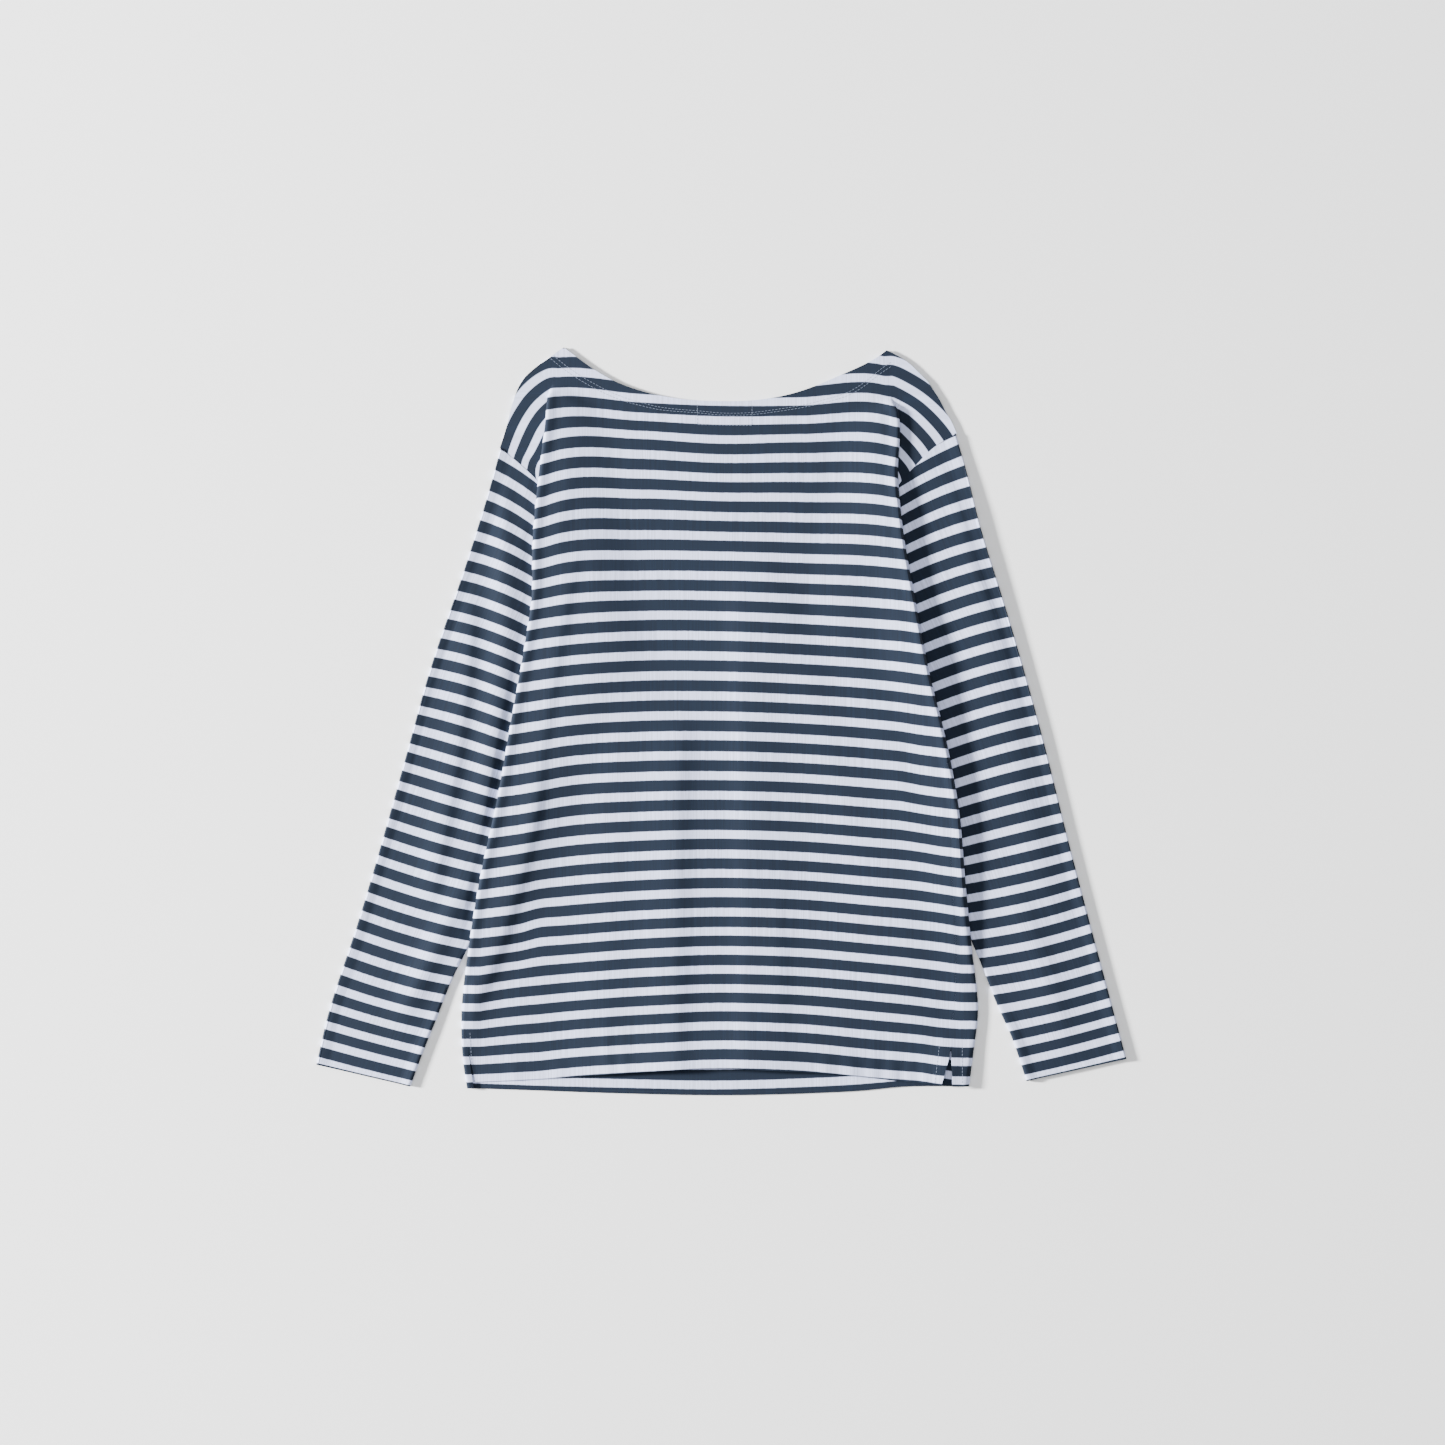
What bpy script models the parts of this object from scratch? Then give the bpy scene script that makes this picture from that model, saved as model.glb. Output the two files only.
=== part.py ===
"""Striped jersey top with a boat neck and long sleeves, laid flat with its back up.

Four cut pieces are sewn together: a back panel, a front panel and two sleeves.
Lengths are in millimetres up to the last step, which writes metres. The centre line
of the body is x = 0, y grows towards the neck, and z = 0 is the surface it lies on.
"out" is the distance from the centre line to either side, and "level" is y.
"""

import math

import bpy
import numpy as np

MM = 0.001

# The cloth and how it lies in layers
WALL = 1.2
LAYER_GAP = 0.4
SEAM_GAP = 0.3
SIDE_SEAM_GAP = 0.4
ROLLED_SEAM_GAP = 0.6
CORNER_GAP = 1.0
CORNER_REACH = 12.0
LAYER = WALL + LAYER_GAP
ON_TABLE = WALL / 2
ON_FRONT = ON_TABLE + LAYER
OVER_SLEEVE = 2 * LAYER
TIGHT_FOLD = LAYER / 2
SOFT_EDGE = 1.5
EDGE_RELAX = 10.0
RAMP = 16.0
RAMP_CLEAR = 3.0
TOP_RAMP_LEAD = 3.0
RIDGE_POWER = 0.7  # how early the shoulder's ridge turns over on its way down
RIDGE_LOOSENESS = 0.5
INNER_FOLD_CURVE = 0.35  # share of the inner fold's run that is curved, the rest is straight
LEAST_TURNED_IN = 0.4
ROLL_REACH = 3.0  # how far from the folded edge its seam's gap grows wider

# Levels that rule the body: its ridge starts, its fold starts, the underarm, the slits
RIDGE_TOP = 327.5
FOLD_TOP = 297.0
UNDERARM = 74.5
UNDERARM_TURN = 11.0
UNDERARM_SPREAD = 3.0
SLIT_TOP = -298.7

# Columns of the panels, counted from a panel's edge inwards, and the least step between two
LEAST_STEP = 0.45
PLEAT_COLUMNS = (2, 4, 3, 5)  # to the inner fold, round it, out to the folded edge, round that
TOP_STEPS = (3.0, 7.0, 12.0)
RAMP_STEPS = (0.0, 4.5, 9.0, 13.5, 18.0)
RAMP_STANDOFF = 4.0
CENTRE_COLUMNS = 6
LEAST_FLAT = 1.5
LIFT_FROM_COLUMN = 15
LIFT_FADE_COLUMNS = 4
FRONT_EDGE_COLUMNS = 9
FRONT_WRAP_COLUMNS = (3, 5)
FRONT_FLAT_FROM = 4.0
FRONT_RAMP_STEPS = (0.0, 5.5, 11.0, 17.0)
FRONT_CENTRE_COLUMNS = 4

# Points of a section before its columns are placed on it
FLAT_POINTS = 24
TIGHT_FOLD_POINTS = 17
SOFT_EDGE_POINTS = 25
UNDERSIDE_POINTS = 200
TOP_POINTS = 80
EDGE_ZONE = 24.0
TINY_RISE = 1e-6

# Necklines: the back's shows and the front's is lower, behind it
NECK_SAG = (  # x, drop below the straight line between the two neck points
    (-145.2, 0.0), (-134.0, 8.3), (-118.2, 19.5), (-97.7, 31.0), (-74.7, 39.2),
    (-41.8, 45.9), (-0.7, 48.1), (37.9, 46.0), (64.6, 40.5), (90.7, 31.4),
    (108.7, 23.4), (134.2, 11.5), (143.2, 6.3), (151.4, 0.0),
)
FRONT_NECK_DEPTH = 1.5
FRONT_SAG_POWER = 0.6

# Hems: x, level
BACK_HEM = (
    (-226.0, -331.8), (-148.9, -327.8), (-66.1, -321.8), (-9.0, -318.4), (39.7, -320.8),
    (107.8, -324.7), (163.9, -331.0), (202.4, -334.4),
)
FRONT_HEM = (
    (-234.4, -337.6), (-185.7, -339.2), (-93.7, -342.4), (7.5, -344.1), (89.4, -342.0),
    (127.1, -340.1), (163.9, -336.5), (227.4, -335.8),
)
HEM_LIFT = 4.0
HEM_LIFT_REACH = 45.0
HEM_LIFT_HALF_WIDTH = 170.0

# Lines of each side, rows of (level, out)
SHOULDER = {
    "left": (
        (343.8, 145.2), (339.5, 151.6), (333.4, 159.2), (328.5, 166.6), (322.0, 174.8),
        (315.6, 181.4), (309.1, 185.7), (292.6, 192.1), (271.0, 197.8), (251.2, 204.1),
    ),
    "right": (
        (340.4, 151.4), (335.8, 161.2), (329.4, 171.3), (320.2, 181.1), (312.1, 189.2),
        (304.5, 194.3), (294.4, 200.7), (284.3, 205.7), (276.0, 210.6), (264.4, 215.8),
    ),
}
ARMHOLE = {
    "left": (
        (251.2, 204.1), (237.4, 187.0), (220.8, 169.5), (194.1, 152.5), (148.1, 139.7),
        (111.3, 131.4), (UNDERARM, 123.1),
    ),
    "right": (
        (264.4, 215.8), (254.0, 198.2), (235.2, 178.2), (218.0, 163.0), (192.3, 151.1),
        (146.3, 142.8), (106.7, 134.5), (UNDERARM, 127.1),
    ),
}
FOLD_EDGE = {
    "left": (
        (330.0, 157.5), (296.2, 160.8), (277.8, 162.0), (230.9, 167.8), (163.8, 174.2),
        (113.2, 175.0), (70.8, 181.2), (0.0, 193.9), (-71.8, 206.6), (-146.3, 222.8),
        (-207.0, 232.6), (-271.8, 239.7), (-319.2, 237.3), (-337.6, 234.4),
    ),
    "right": (
        (330.0, 155.0), (305.4, 158.1), (280.6, 163.0), (224.5, 162.0), (177.6, 166.4),
        (109.5, 178.2), (42.3, 191.2), (-18.4, 206.4), (-78.2, 217.5), (-150.0, 224.1),
        (-207.0, 229.5), (-270.5, 235.5), (-302.7, 231.7), (-335.8, 227.4),
    ),
}
# Side seam: level, how far the back's edge and the front's lie under the body's folded
# edge. A negative distance is on the top side, where the front wraps over the edge.
SIDE_SEAM = {
    "left": (
        (UNDERARM, 57.4, 57.4), (20.0, 47.0, 47.0), (-60.0, 34.0, 34.0),
        (-150.0, 19.0, 19.0), (-225.0, 7.0, 7.0), (-272.0, 0.0, 0.0),
        (SLIT_TOP, -5.0, -5.0), (-337.6, -9.0, -6.0),
    ),
    "right": (
        (UNDERARM, 57.8, 57.8), (63.5, 58.0, 58.0), (44.0, 37.0, 37.0), (20.0, 17.0, 17.0),
        (0.0, 6.0, 6.0),
        (-18.4, 0.0, 0.0), (-45.0, -4.0, -4.0), (-78.0, -7.2, -7.2), (-124.0, -11.2, -11.2),
        (-210.0, -14.7, -14.7), (-252.0, -20.0, -20.0), (-270.0, -22.4, -22.4),
        (SLIT_TOP, -20.9, -20.9), (-335.8, -25.4, -15.2),
    ),
}
SLEEVE_OUTER = {
    "left": (
        (251.2, 204.1), (222.6, 211.8), (148.1, 234.4), (37.7, 271.2), (-35.9, 291.5),
        (-182.2, 333.8), (-274.2, 363.4), (-315.8, 372.9),
    ),
    "right": (
        (264.4, 215.8), (234.6, 224.6), (178.0, 238.6), (105.8, 260.5), (-2.8, 291.6),
        (-117.8, 320.6), (-262.2, 359.0), (-310.5, 372.0),
    ),
}
SLEEVE_INNER = {
    "left": (
        (UNDERARM, 123.1), (-60.0, 175.5), (-207.0, 232.6), (-234.6, 246.6),
        (-274.2, 262.4), (-306.8, 275.5), (-336.0, 286.2),
    ),
    "right": (
        (UNDERARM, 127.1), (-60.0, 177.5), (-202.4, 229.5), (-226.1, 239.4),
        (-259.4, 252.3), (-291.6, 266.6), (-331.0, 279.9),
    ),
}

# Rows of the body panels: left level, right level, share of the neck's sag
TOP_ROWS = (
    (343.8, 340.4, 1.00), (337.0, 335.0, 0.93), (328.0, 328.0, 0.85), (318.0, 319.0, 0.76),
    (307.0, 309.0, 0.67), (296.0, 299.0, 0.58), (284.0, 289.0, 0.49), (268.0, 277.0, 0.39),
    (251.2, 264.4, 0.29), (236.0, 246.0, 0.20), (219.0, 224.0, 0.12), (199.0, 200.0, 0.05),
    (170.0, 170.0, 0.0), (138.0, 138.0, 0.0), (106.0, 106.0, 0.0),
    (UNDERARM, UNDERARM, 0.0), (69.0, 69.0, 0.0), (63.0, 63.0, 0.0), (44.0, 44.0, 0.0),
)
LOW_LEVELS = (
    20.0, 4.0, -7.0, -13.0, -19.0, -25.0, -33.0, -60.0, -96.0, -132.0, -168.0, -196.0,
    -218.0, -240.0, -262.0, -280.0, SLIT_TOP,
)
HEM_ROWS = (0.5, 1.0)

# The largest soft folds of the back: x and level of both ends, half width, height
BACK_FOLDS = (
    ("upper left", -143.0, 232.0, -160.0, 130.0, 11.0, 2.5),
    ("left side", -160.0, 60.0, -183.0, -130.0, 15.0, 3.0),
    ("low left", -178.0, -120.0, -216.0, -245.0, 14.0, 5.0),
    ("left", -92.0, 70.0, -112.0, -320.0, 19.0, 2.5),
    ("centre left", -56.0, 0.0, -58.0, -325.0, 20.0, 5.0),
    ("centre right", 22.0, 110.0, 26.0, -325.0, 22.0, 5.0),
    ("right diagonal", 60.0, 120.0, 178.0, -220.0, 18.0, 3.5),
)
# The sleeves' long soft folds: how far across and along both ends, half width, height
SLEEVE_FOLDS = {
    "left": (
        ("by the body", 0.36, 0.10, 0.62, 0.92, 9.0, 4.5),
        ("outer", 0.22, 0.35, 0.28, 0.80, 12.0, 3.0),
    ),
    "right": (("middle", 0.30, 0.10, 0.42, 0.92, 16.0, 4.5),),
}
FOLD_TAPER = 35.0
SLEEVE_FOLD_TAPER = 0.08
BODY_COVERS_DOWN_TO = -230.0
COVER_CLEAR = 4.0
COVER_FADE = 16.0

# The sleeves' sections: rows, share over which the armhole's bow fades, and their edges
SLEEVE_ROWS = 17
BOW_FADE = 0.35
INNER_EDGE_OPENS_FROM = 0.75
INNER_EDGE_OPENS_OVER = 0.2
UNDERARM_EASE = 0.6
UNDERARM_EASE_OVER = 0.1
INNER_EDGE_POINTS = 6
OUTER_EDGE_POINTS = 7
WELD_WITHIN = 0.01

# Half width over which the rows slant from the left level to the right one
SLANT_HALF_WIDTH = 200.0

CLOTH_COLOURS = {
    "back_panel": (0.33, 0.36, 0.43),
    "front_panel": (0.26, 0.30, 0.37),
    "left_sleeve": (0.30, 0.34, 0.41),
    "right_sleeve": (0.30, 0.34, 0.41),
}
CLOTH_ROUGHNESS = 0.9


def ease(share):
    """Smooth step from 0 to 1."""
    share = np.clip(share, 0.0, 1.0)
    return share * share * (3.0 - 2.0 * share)


def read(rows, at, column=1):
    """Smooth value at a level or place from a table sorted by its first column, either way."""
    table = np.array(sorted(rows), float)
    places = table[:, 0]
    values = table[:, column]
    slopes = np.gradient(values, places)
    at = np.clip(at, places[0], places[-1])
    left = np.clip(np.searchsorted(places, at) - 1, 0, len(places) - 2)
    span = places[left + 1] - places[left]
    t = (at - places[left]) / span
    start = (2 * t**3 - 3 * t**2 + 1) * values[left] + (t**3 - 2 * t**2 + t) * span * slopes[left]
    end = (3 * t**2 - 2 * t**3) * values[left + 1] + (t**3 - t**2) * span * slopes[left + 1]
    return start + end


def boundary(side, level):
    """The body's own edge above the underarm: the shoulder line, then the armhole."""
    shoulder_point = SHOULDER[side][-1][0]
    return read(SHOULDER[side] if level > shoulder_point else ARMHOLE[side], level)


def fold_growth(level):
    """0 where the armhole fold has not begun, 1 where the cloth doubles back on itself."""
    return float(np.clip((RIDGE_TOP - level) / (RIDGE_TOP - FOLD_TOP), 0.0, 1.0))


def inner_fold(side, level):
    """Out of the fold at the bottom of the pleat, running from the fold's top to the underarm."""
    start = read(FOLD_EDGE[side], FOLD_TOP) - WALL / 2 - SOFT_EDGE - TIGHT_FOLD
    down = (FOLD_TOP - level) / (FOLD_TOP - UNDERARM)
    straight = np.clip(down, 0.0, 1.0)
    share = INNER_FOLD_CURVE * ease(down) + (1.0 - INNER_FOLD_CURVE) * straight
    return start + (ARMHOLE[side][-1][1] - TIGHT_FOLD - start) * share


def body_lift(side, out, level, lead=0.0):
    """Height the body gains over the sleeve or over its own pleat, with a ramp inboard."""
    reach = inner_fold(side, level) if level > UNDERARM else read(SLEEVE_INNER[side], level)
    full_from = reach - RAMP_CLEAR - lead
    return OVER_SLEEVE * fold_growth(level) * ease((out - full_from + RAMP) / RAMP)


def measured(points):
    """Length along a list of points."""
    steps = np.hypot(*np.diff(np.array(points), axis=0).T)
    return np.concatenate([[0.0], np.cumsum(steps)])


def top_side(side, level, start_out, start_height):
    """Points from the folded edge inwards to the centre line, on the top side of the body."""
    near_edge = start_out - np.arange(0.0, EDGE_ZONE, 1.0)
    inboard = np.linspace(start_out - EDGE_ZONE, 0.0, TOP_POINTS)
    outs = np.concatenate([near_edge, inboard])
    base = ON_FRONT + body_lift(side, outs, level, TOP_RAMP_LEAD)
    excess = start_height - base[0]
    return list(zip(outs, base + excess * (1.0 - ease((start_out - outs) / EDGE_RELAX))))


def pleat_path(side, level):
    """Section above the underarm, from the body's edge to the centre line, with its marks.

    The cloth runs inwards on the front panel, turns up at the inner fold, runs out to the
    folded edge and turns again. Nearer the shoulder both turns open out into a soft ridge.
    """
    grown = fold_growth(level)
    angle = math.pi * grown**RIDGE_POWER
    looser = 1.0 + RIDGE_LOOSENESS * (1.0 - grown)
    lower = TIGHT_FOLD * looser
    upper = SOFT_EDGE * looser
    edge = read(FOLD_EDGE[side], level) - WALL / 2
    turn = edge - upper + 0.5 * (lower + upper) * math.sin(angle)
    doubled = 0.0
    if grown >= 1.0:
        turn = min(edge - upper, inner_fold(side, level) + lower)
        doubled = edge - upper - turn
    begin = max(boundary(side, level), turn + LEAST_TURNED_IN)
    points = [(out, ON_FRONT) for out in np.linspace(begin, turn, FLAT_POINTS)]
    marks = [len(points) - 1]
    for phi in np.linspace(0.0, angle, TIGHT_FOLD_POINTS)[1:]:
        points.append((turn - lower * math.sin(phi), ON_FRONT + lower * (1 - math.cos(phi))))
    marks.append(len(points) - 1)
    out, height = points[-1]
    for share in np.linspace(0.0, 1.0, FLAT_POINTS)[1:]:
        points.append((out - share * doubled * math.cos(angle), height + TINY_RISE * share))
    marks.append(len(points) - 1)
    out, height = points[-1]
    for phi in np.linspace(angle, 0.0, SOFT_EDGE_POINTS)[1:]:
        sideways = upper * (math.sin(phi) - math.sin(angle))
        upwards = upper * (math.cos(phi) - math.cos(angle))
        points.append((out + sideways, height + upwards))
    marks.append(len(points) - 1)
    points += top_side(side, level, *points[-1])[1:]
    along = measured(points)
    begin_along = along[0]
    if grown == 0.0:
        begin_along = np.interp(-boundary(side, level), [-p[0] for p in points], along)
    return np.array(points), along, [along[mark] for mark in marks], begin_along


def tube_path(side, level):
    """Section below the underarm: from the centre line out along the underside, round the
    folded edge and back along the top side, with the length along it where the edge is."""
    edge = read(FOLD_EDGE[side], level) - WALL / 2
    turn = edge - SOFT_EDGE
    outs = np.linspace(0.0, turn, UNDERSIDE_POINTS)
    points = list(zip(outs, ON_TABLE + body_lift(side, outs, level)))
    start_height = points[-1][1]
    for phi in np.linspace(0.0, math.pi, SOFT_EDGE_POINTS)[1:]:
        rise = SOFT_EDGE * (1 - math.cos(phi))
        points.append((turn + SOFT_EDGE * math.sin(phi), start_height + rise))
    low = len(outs) - 1
    high = len(points) - 1
    points += top_side(side, level, *points[-1])[1:]
    along = measured(points)
    return np.array(points), along, along[low], along[high]


def seam_along(side, level, low, high, column):
    """Length along the tube's section at which a panel's edge lies: 1 the back's, 2 the front's.

    The gap of the seam is a little wider where the seam runs round the folded edge.
    """
    inside = read(SIDE_SEAM[side], level, column)
    gap = SIDE_SEAM_GAP + ROLLED_SEAM_GAP * math.exp(-((inside / ROLL_REACH) ** 2))
    half_turn = (high - low) / 2
    middle = (low + high) / 2 + (gap / 2 if column == 1 else -gap / 2)
    if abs(inside) < SOFT_EDGE:
        return middle - inside * half_turn / SOFT_EDGE
    return middle - math.copysign(abs(inside) - SOFT_EDGE + half_turn, inside)


def kept_apart(stations, start):
    """Stations pushed along so that none lies before the piece's edge or on its neighbour."""
    steps = LEAST_STEP * np.arange(len(stations))
    return np.maximum.accumulate(np.maximum(stations, start) - steps) + steps


def spread(start, end, count):
    return list(np.linspace(start, end, count + 1)[1:])


def top_stations(side, level, points, along, high):
    """Lengths along the section at which the back panel has its columns on the top side."""
    reach = inner_fold(side, level) if level > UNDERARM else read(SLEEVE_INNER[side], level)
    edge = points[np.searchsorted(along, high)][0]
    ramp_start = min(reach - RAMP_CLEAR - TOP_RAMP_LEAD, edge - TOP_STEPS[-1] - RAMP_STANDOFF)
    outs = [edge - step for step in TOP_STEPS]
    outs.append((outs[-1] + ramp_start) / 2)
    outs += [ramp_start - step for step in RAMP_STEPS]
    outs += spread(outs[-1], 0.0, CENTRE_COLUMNS)
    top = along >= high - 1e-9
    return list(np.interp([-out for out in outs], -points[top, 0], along[top]))


def back_half(side, level):
    """(out, height) of each column of the back panel on one side, from its edge inwards."""
    if level > UNDERARM:
        points, along, marks, start = pleat_path(side, level)
        stations = []
        for first, last, count in zip([start] + marks[:-1], marks, PLEAT_COLUMNS):
            stations += spread(first, last, count)
        stations += top_stations(side, level, points, along, marks[3])
    else:
        points, along, low, high = tube_path(side, level)
        start = seam_along(side, level, low, high, 1)
        turned = ease((UNDERARM - level) / UNDERARM_TURN)
        fold_columns = PLEAT_COLUMNS[0] + PLEAT_COLUMNS[1]
        stations = [start + LEAST_STEP * step for step in range(1, fold_columns + 1)]
        stations += spread(stations[-1], max(low, stations[-1] + LEAST_FLAT), PLEAT_COLUMNS[2])
        stations += spread(low, high, PLEAT_COLUMNS[3])
        stations += top_stations(side, level, points, along, high)
        if turned < 1.0:
            return underarm_turn(side, level, points, along, low, high, turned)
    stations = kept_apart(np.array([start] + stations), start)
    return np.column_stack([np.interp(stations, along, points[:, axis]) for axis in (0, 1)])


def underarm_turn(side, level, points, along, low, high, turned):
    """The back panel's section just below the underarm, where its edge climbs the inner fold."""
    corner = inner_fold(side, UNDERARM) + TIGHT_FOLD
    fold_columns = PLEAT_COLUMNS[0] + PLEAT_COLUMNS[1]
    fold = []
    for phi in np.linspace(math.pi * turned, math.pi, fold_columns + 1):
        rise = TIGHT_FOLD * (1 - math.cos(phi))
        fold.append((corner - TIGHT_FOLD * math.sin(phi), ON_FRONT + rise))
    flat_end = np.interp(low, along, points[:, 0])
    flat_outs = spread(corner, flat_end, PLEAT_COLUMNS[2])
    flat = [(out, ON_TABLE + OVER_SLEEVE) for out in flat_outs]
    stations = spread(low, high, PLEAT_COLUMNS[3])
    stations += top_stations(side, level, points, along, high)
    rest = np.column_stack([np.interp(stations, along, points[:, axis]) for axis in (0, 1)])
    return np.vstack([fold, flat, rest])


def front_half(side, level):
    """(out, height) of each column of the front panel on one side, from its edge inwards."""
    if level >= UNDERARM:
        start = boundary(side, level)
        reach = min(inner_fold(side, level), start)
        outs = [start - LEAST_STEP * step for step in range(FRONT_EDGE_COLUMNS)]
        outs.append(start - FRONT_FLAT_FROM)
        ramp_start = min(reach, outs[-1] - LEAST_STEP)
        outs += [ramp_start - step for step in FRONT_RAMP_STEPS]
        outs += spread(outs[-1], 0.0, FRONT_CENTRE_COLUMNS)
        return np.column_stack([outs, np.full(len(outs), ON_TABLE)])
    points, along, low, high = tube_path(side, level)
    start = seam_along(side, level, low, high, 2)
    turned = ease((UNDERARM - level) / UNDERARM_TURN)
    start -= UNDERARM_SPREAD * math.sin(math.pi * turned)
    reach = read(SLEEVE_INNER[side], level) - RAMP_CLEAR
    stations = [start] + spread(start, high, FRONT_WRAP_COLUMNS[0])
    stations += spread(high, low, FRONT_WRAP_COLUMNS[1])
    under = along <= low
    under_edge = np.interp(min(start, low), along, points[:, 0])
    flat_from = min(under_edge - FRONT_FLAT_FROM, reach)
    outs = [(flat_from + under_edge) / 2]
    outs += [flat_from - step for step in FRONT_RAMP_STEPS]
    outs += spread(outs[-1], 0.0, FRONT_CENTRE_COLUMNS)
    stations += list(np.interp(outs, points[under, 0], along[under]))
    stations = -kept_apart(-np.array(stations), -start)
    section = np.column_stack([np.interp(stations, along, points[:, axis]) for axis in (0, 1)])
    section[:, 1] -= (1.0 - turned) * body_lift(side, section[:, 0], level)
    return section


def fold_height(folds, x, y):
    """Height of straight soft folds with tapered ends at plan points."""
    total = np.zeros_like(x)
    for _, x0, y0, x1, y1, half_width, height in folds:
        length = math.hypot(x1 - x0, y1 - y0)
        ux, uy = (x1 - x0) / length, (y1 - y0) / length
        along = (x - x0) * ux + (y - y0) * uy
        across = (x - x0) * uy - (y - y0) * ux
        start_taper = ease((along + FOLD_TAPER) / (2 * FOLD_TAPER))
        end_taper = ease((length + FOLD_TAPER - along) / (2 * FOLD_TAPER))
        total += height * start_taper * end_taper * np.exp(-((across / half_width) ** 2))
    return total


def hem_opening(x, level, hem):
    """Soft lift of the back's hem off the front, which opens the body there."""
    across = 1.0 - ease(np.abs(x) / HEM_LIFT_HALF_WIDTH)
    return HEM_LIFT * across * (1.0 - ease((level - hem) / HEM_LIFT_REACH))


def body_rows(neck_depth, sag_power, hem):
    """One function for each row that gives the level at x, with the row's levels at its ends."""
    rows = []

    def top_row(left, right, sag):
        def level_at(x):
            in_neck = (x > NECK_SAG[0][0]) & (x < NECK_SAG[-1][0])
            drop = np.where(in_neck, read(NECK_SAG, x), 0.0)
            rightwards = (x + SLANT_HALF_WIDTH) / (2 * SLANT_HALF_WIDTH)
            slant = left + (right - left) * np.clip(rightwards, 0.0, 1.0)
            return slant - sag**sag_power * neck_depth * drop

        return level_at

    def hem_row(share):
        return lambda x: SLIT_TOP + share * (read(hem, x) - SLIT_TOP)

    for left, right, sag in TOP_ROWS:
        rows.append((top_row(left, right, sag), left, right))
    for level in LOW_LEVELS:
        rows.append((top_row(level, level, 0.0), level, level))
    for share in HEM_ROWS:
        place = hem_row(share)
        rows.append((place, float(place(hem[0][0])), float(place(hem[-1][0]))))
    return rows


def body_grid(half, neck_depth, sag_power, hem):
    """Grid of points of a body panel, a row for each section from the neck to the hem."""
    grid = []
    for level_at, left, right in body_rows(neck_depth, sag_power, hem):
        left_half = half("left", left)
        right_half = half("right", right)[::-1][1:]
        x = np.concatenate([-left_half[:, 0], right_half[:, 0]])
        z = np.concatenate([left_half[:, 1], right_half[:, 1]])
        grid.append(np.column_stack([x, level_at(x), z]))
    return np.array(grid[::-1])


def back_panel_grid():
    grid = body_grid(back_half, 1.0, 1.0, BACK_HEM)
    x, y, z = grid[..., 0], grid[..., 1], grid[..., 2]
    columns = grid.shape[1]
    inboard = np.minimum(np.arange(columns), columns - 1 - np.arange(columns))
    on_top = ease((inboard - LIFT_FROM_COLUMN) / LIFT_FADE_COLUMNS)
    z += on_top * (fold_height(BACK_FOLDS, x, y) + hem_opening(x, y, read(BACK_HEM, x)))
    return grid


def front_panel_grid():
    return body_grid(front_half, FRONT_NECK_DEPTH, FRONT_SAG_POWER, FRONT_HEM)


def line_at(rows, share):
    """Point (out, level) at a share of the way along a line."""
    points = np.array([(out, level) for level, out in rows])
    along = measured(points)
    return np.array([np.interp(share * along[-1], along, points[:, axis]) for axis in (0, 1)])


def armhole_points(side):
    """Points of the armhole at the body's own rows, so that both pieces share them."""
    column = 0 if side == "left" else 1
    first = ARMHOLE[side][0][0]
    levels = [row[column] for row in TOP_ROWS if first >= row[column] >= UNDERARM]
    return np.array([(boundary(side, level), level) for level in levels])


def sleeve_fold_height(side, across, along, place, width):
    """Height of the sleeve's long folds, none where the body lies over the sleeve."""
    height = 0.0
    for _, across0, along0, across1, along1, half_width, rise in SLEEVE_FOLDS[side]:
        share = np.clip((along - along0) / (along1 - along0), 0.0, 1.0)
        middle = across0 + (across1 - across0) * share
        start_taper = ease((along - along0 + SLEEVE_FOLD_TAPER) / (2 * SLEEVE_FOLD_TAPER))
        end_taper = ease((along1 + SLEEVE_FOLD_TAPER - along) / (2 * SLEEVE_FOLD_TAPER))
        height += rise * start_taper * end_taper * np.exp(-(((across - middle) * width / half_width) ** 2))
    out, level = place
    clear = 1.0
    if level > BODY_COVERS_DOWN_TO:
        clear = ease((out - read(FOLD_EDGE[side], level) - COVER_CLEAR) / COVER_FADE)
    return height * clear


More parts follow.
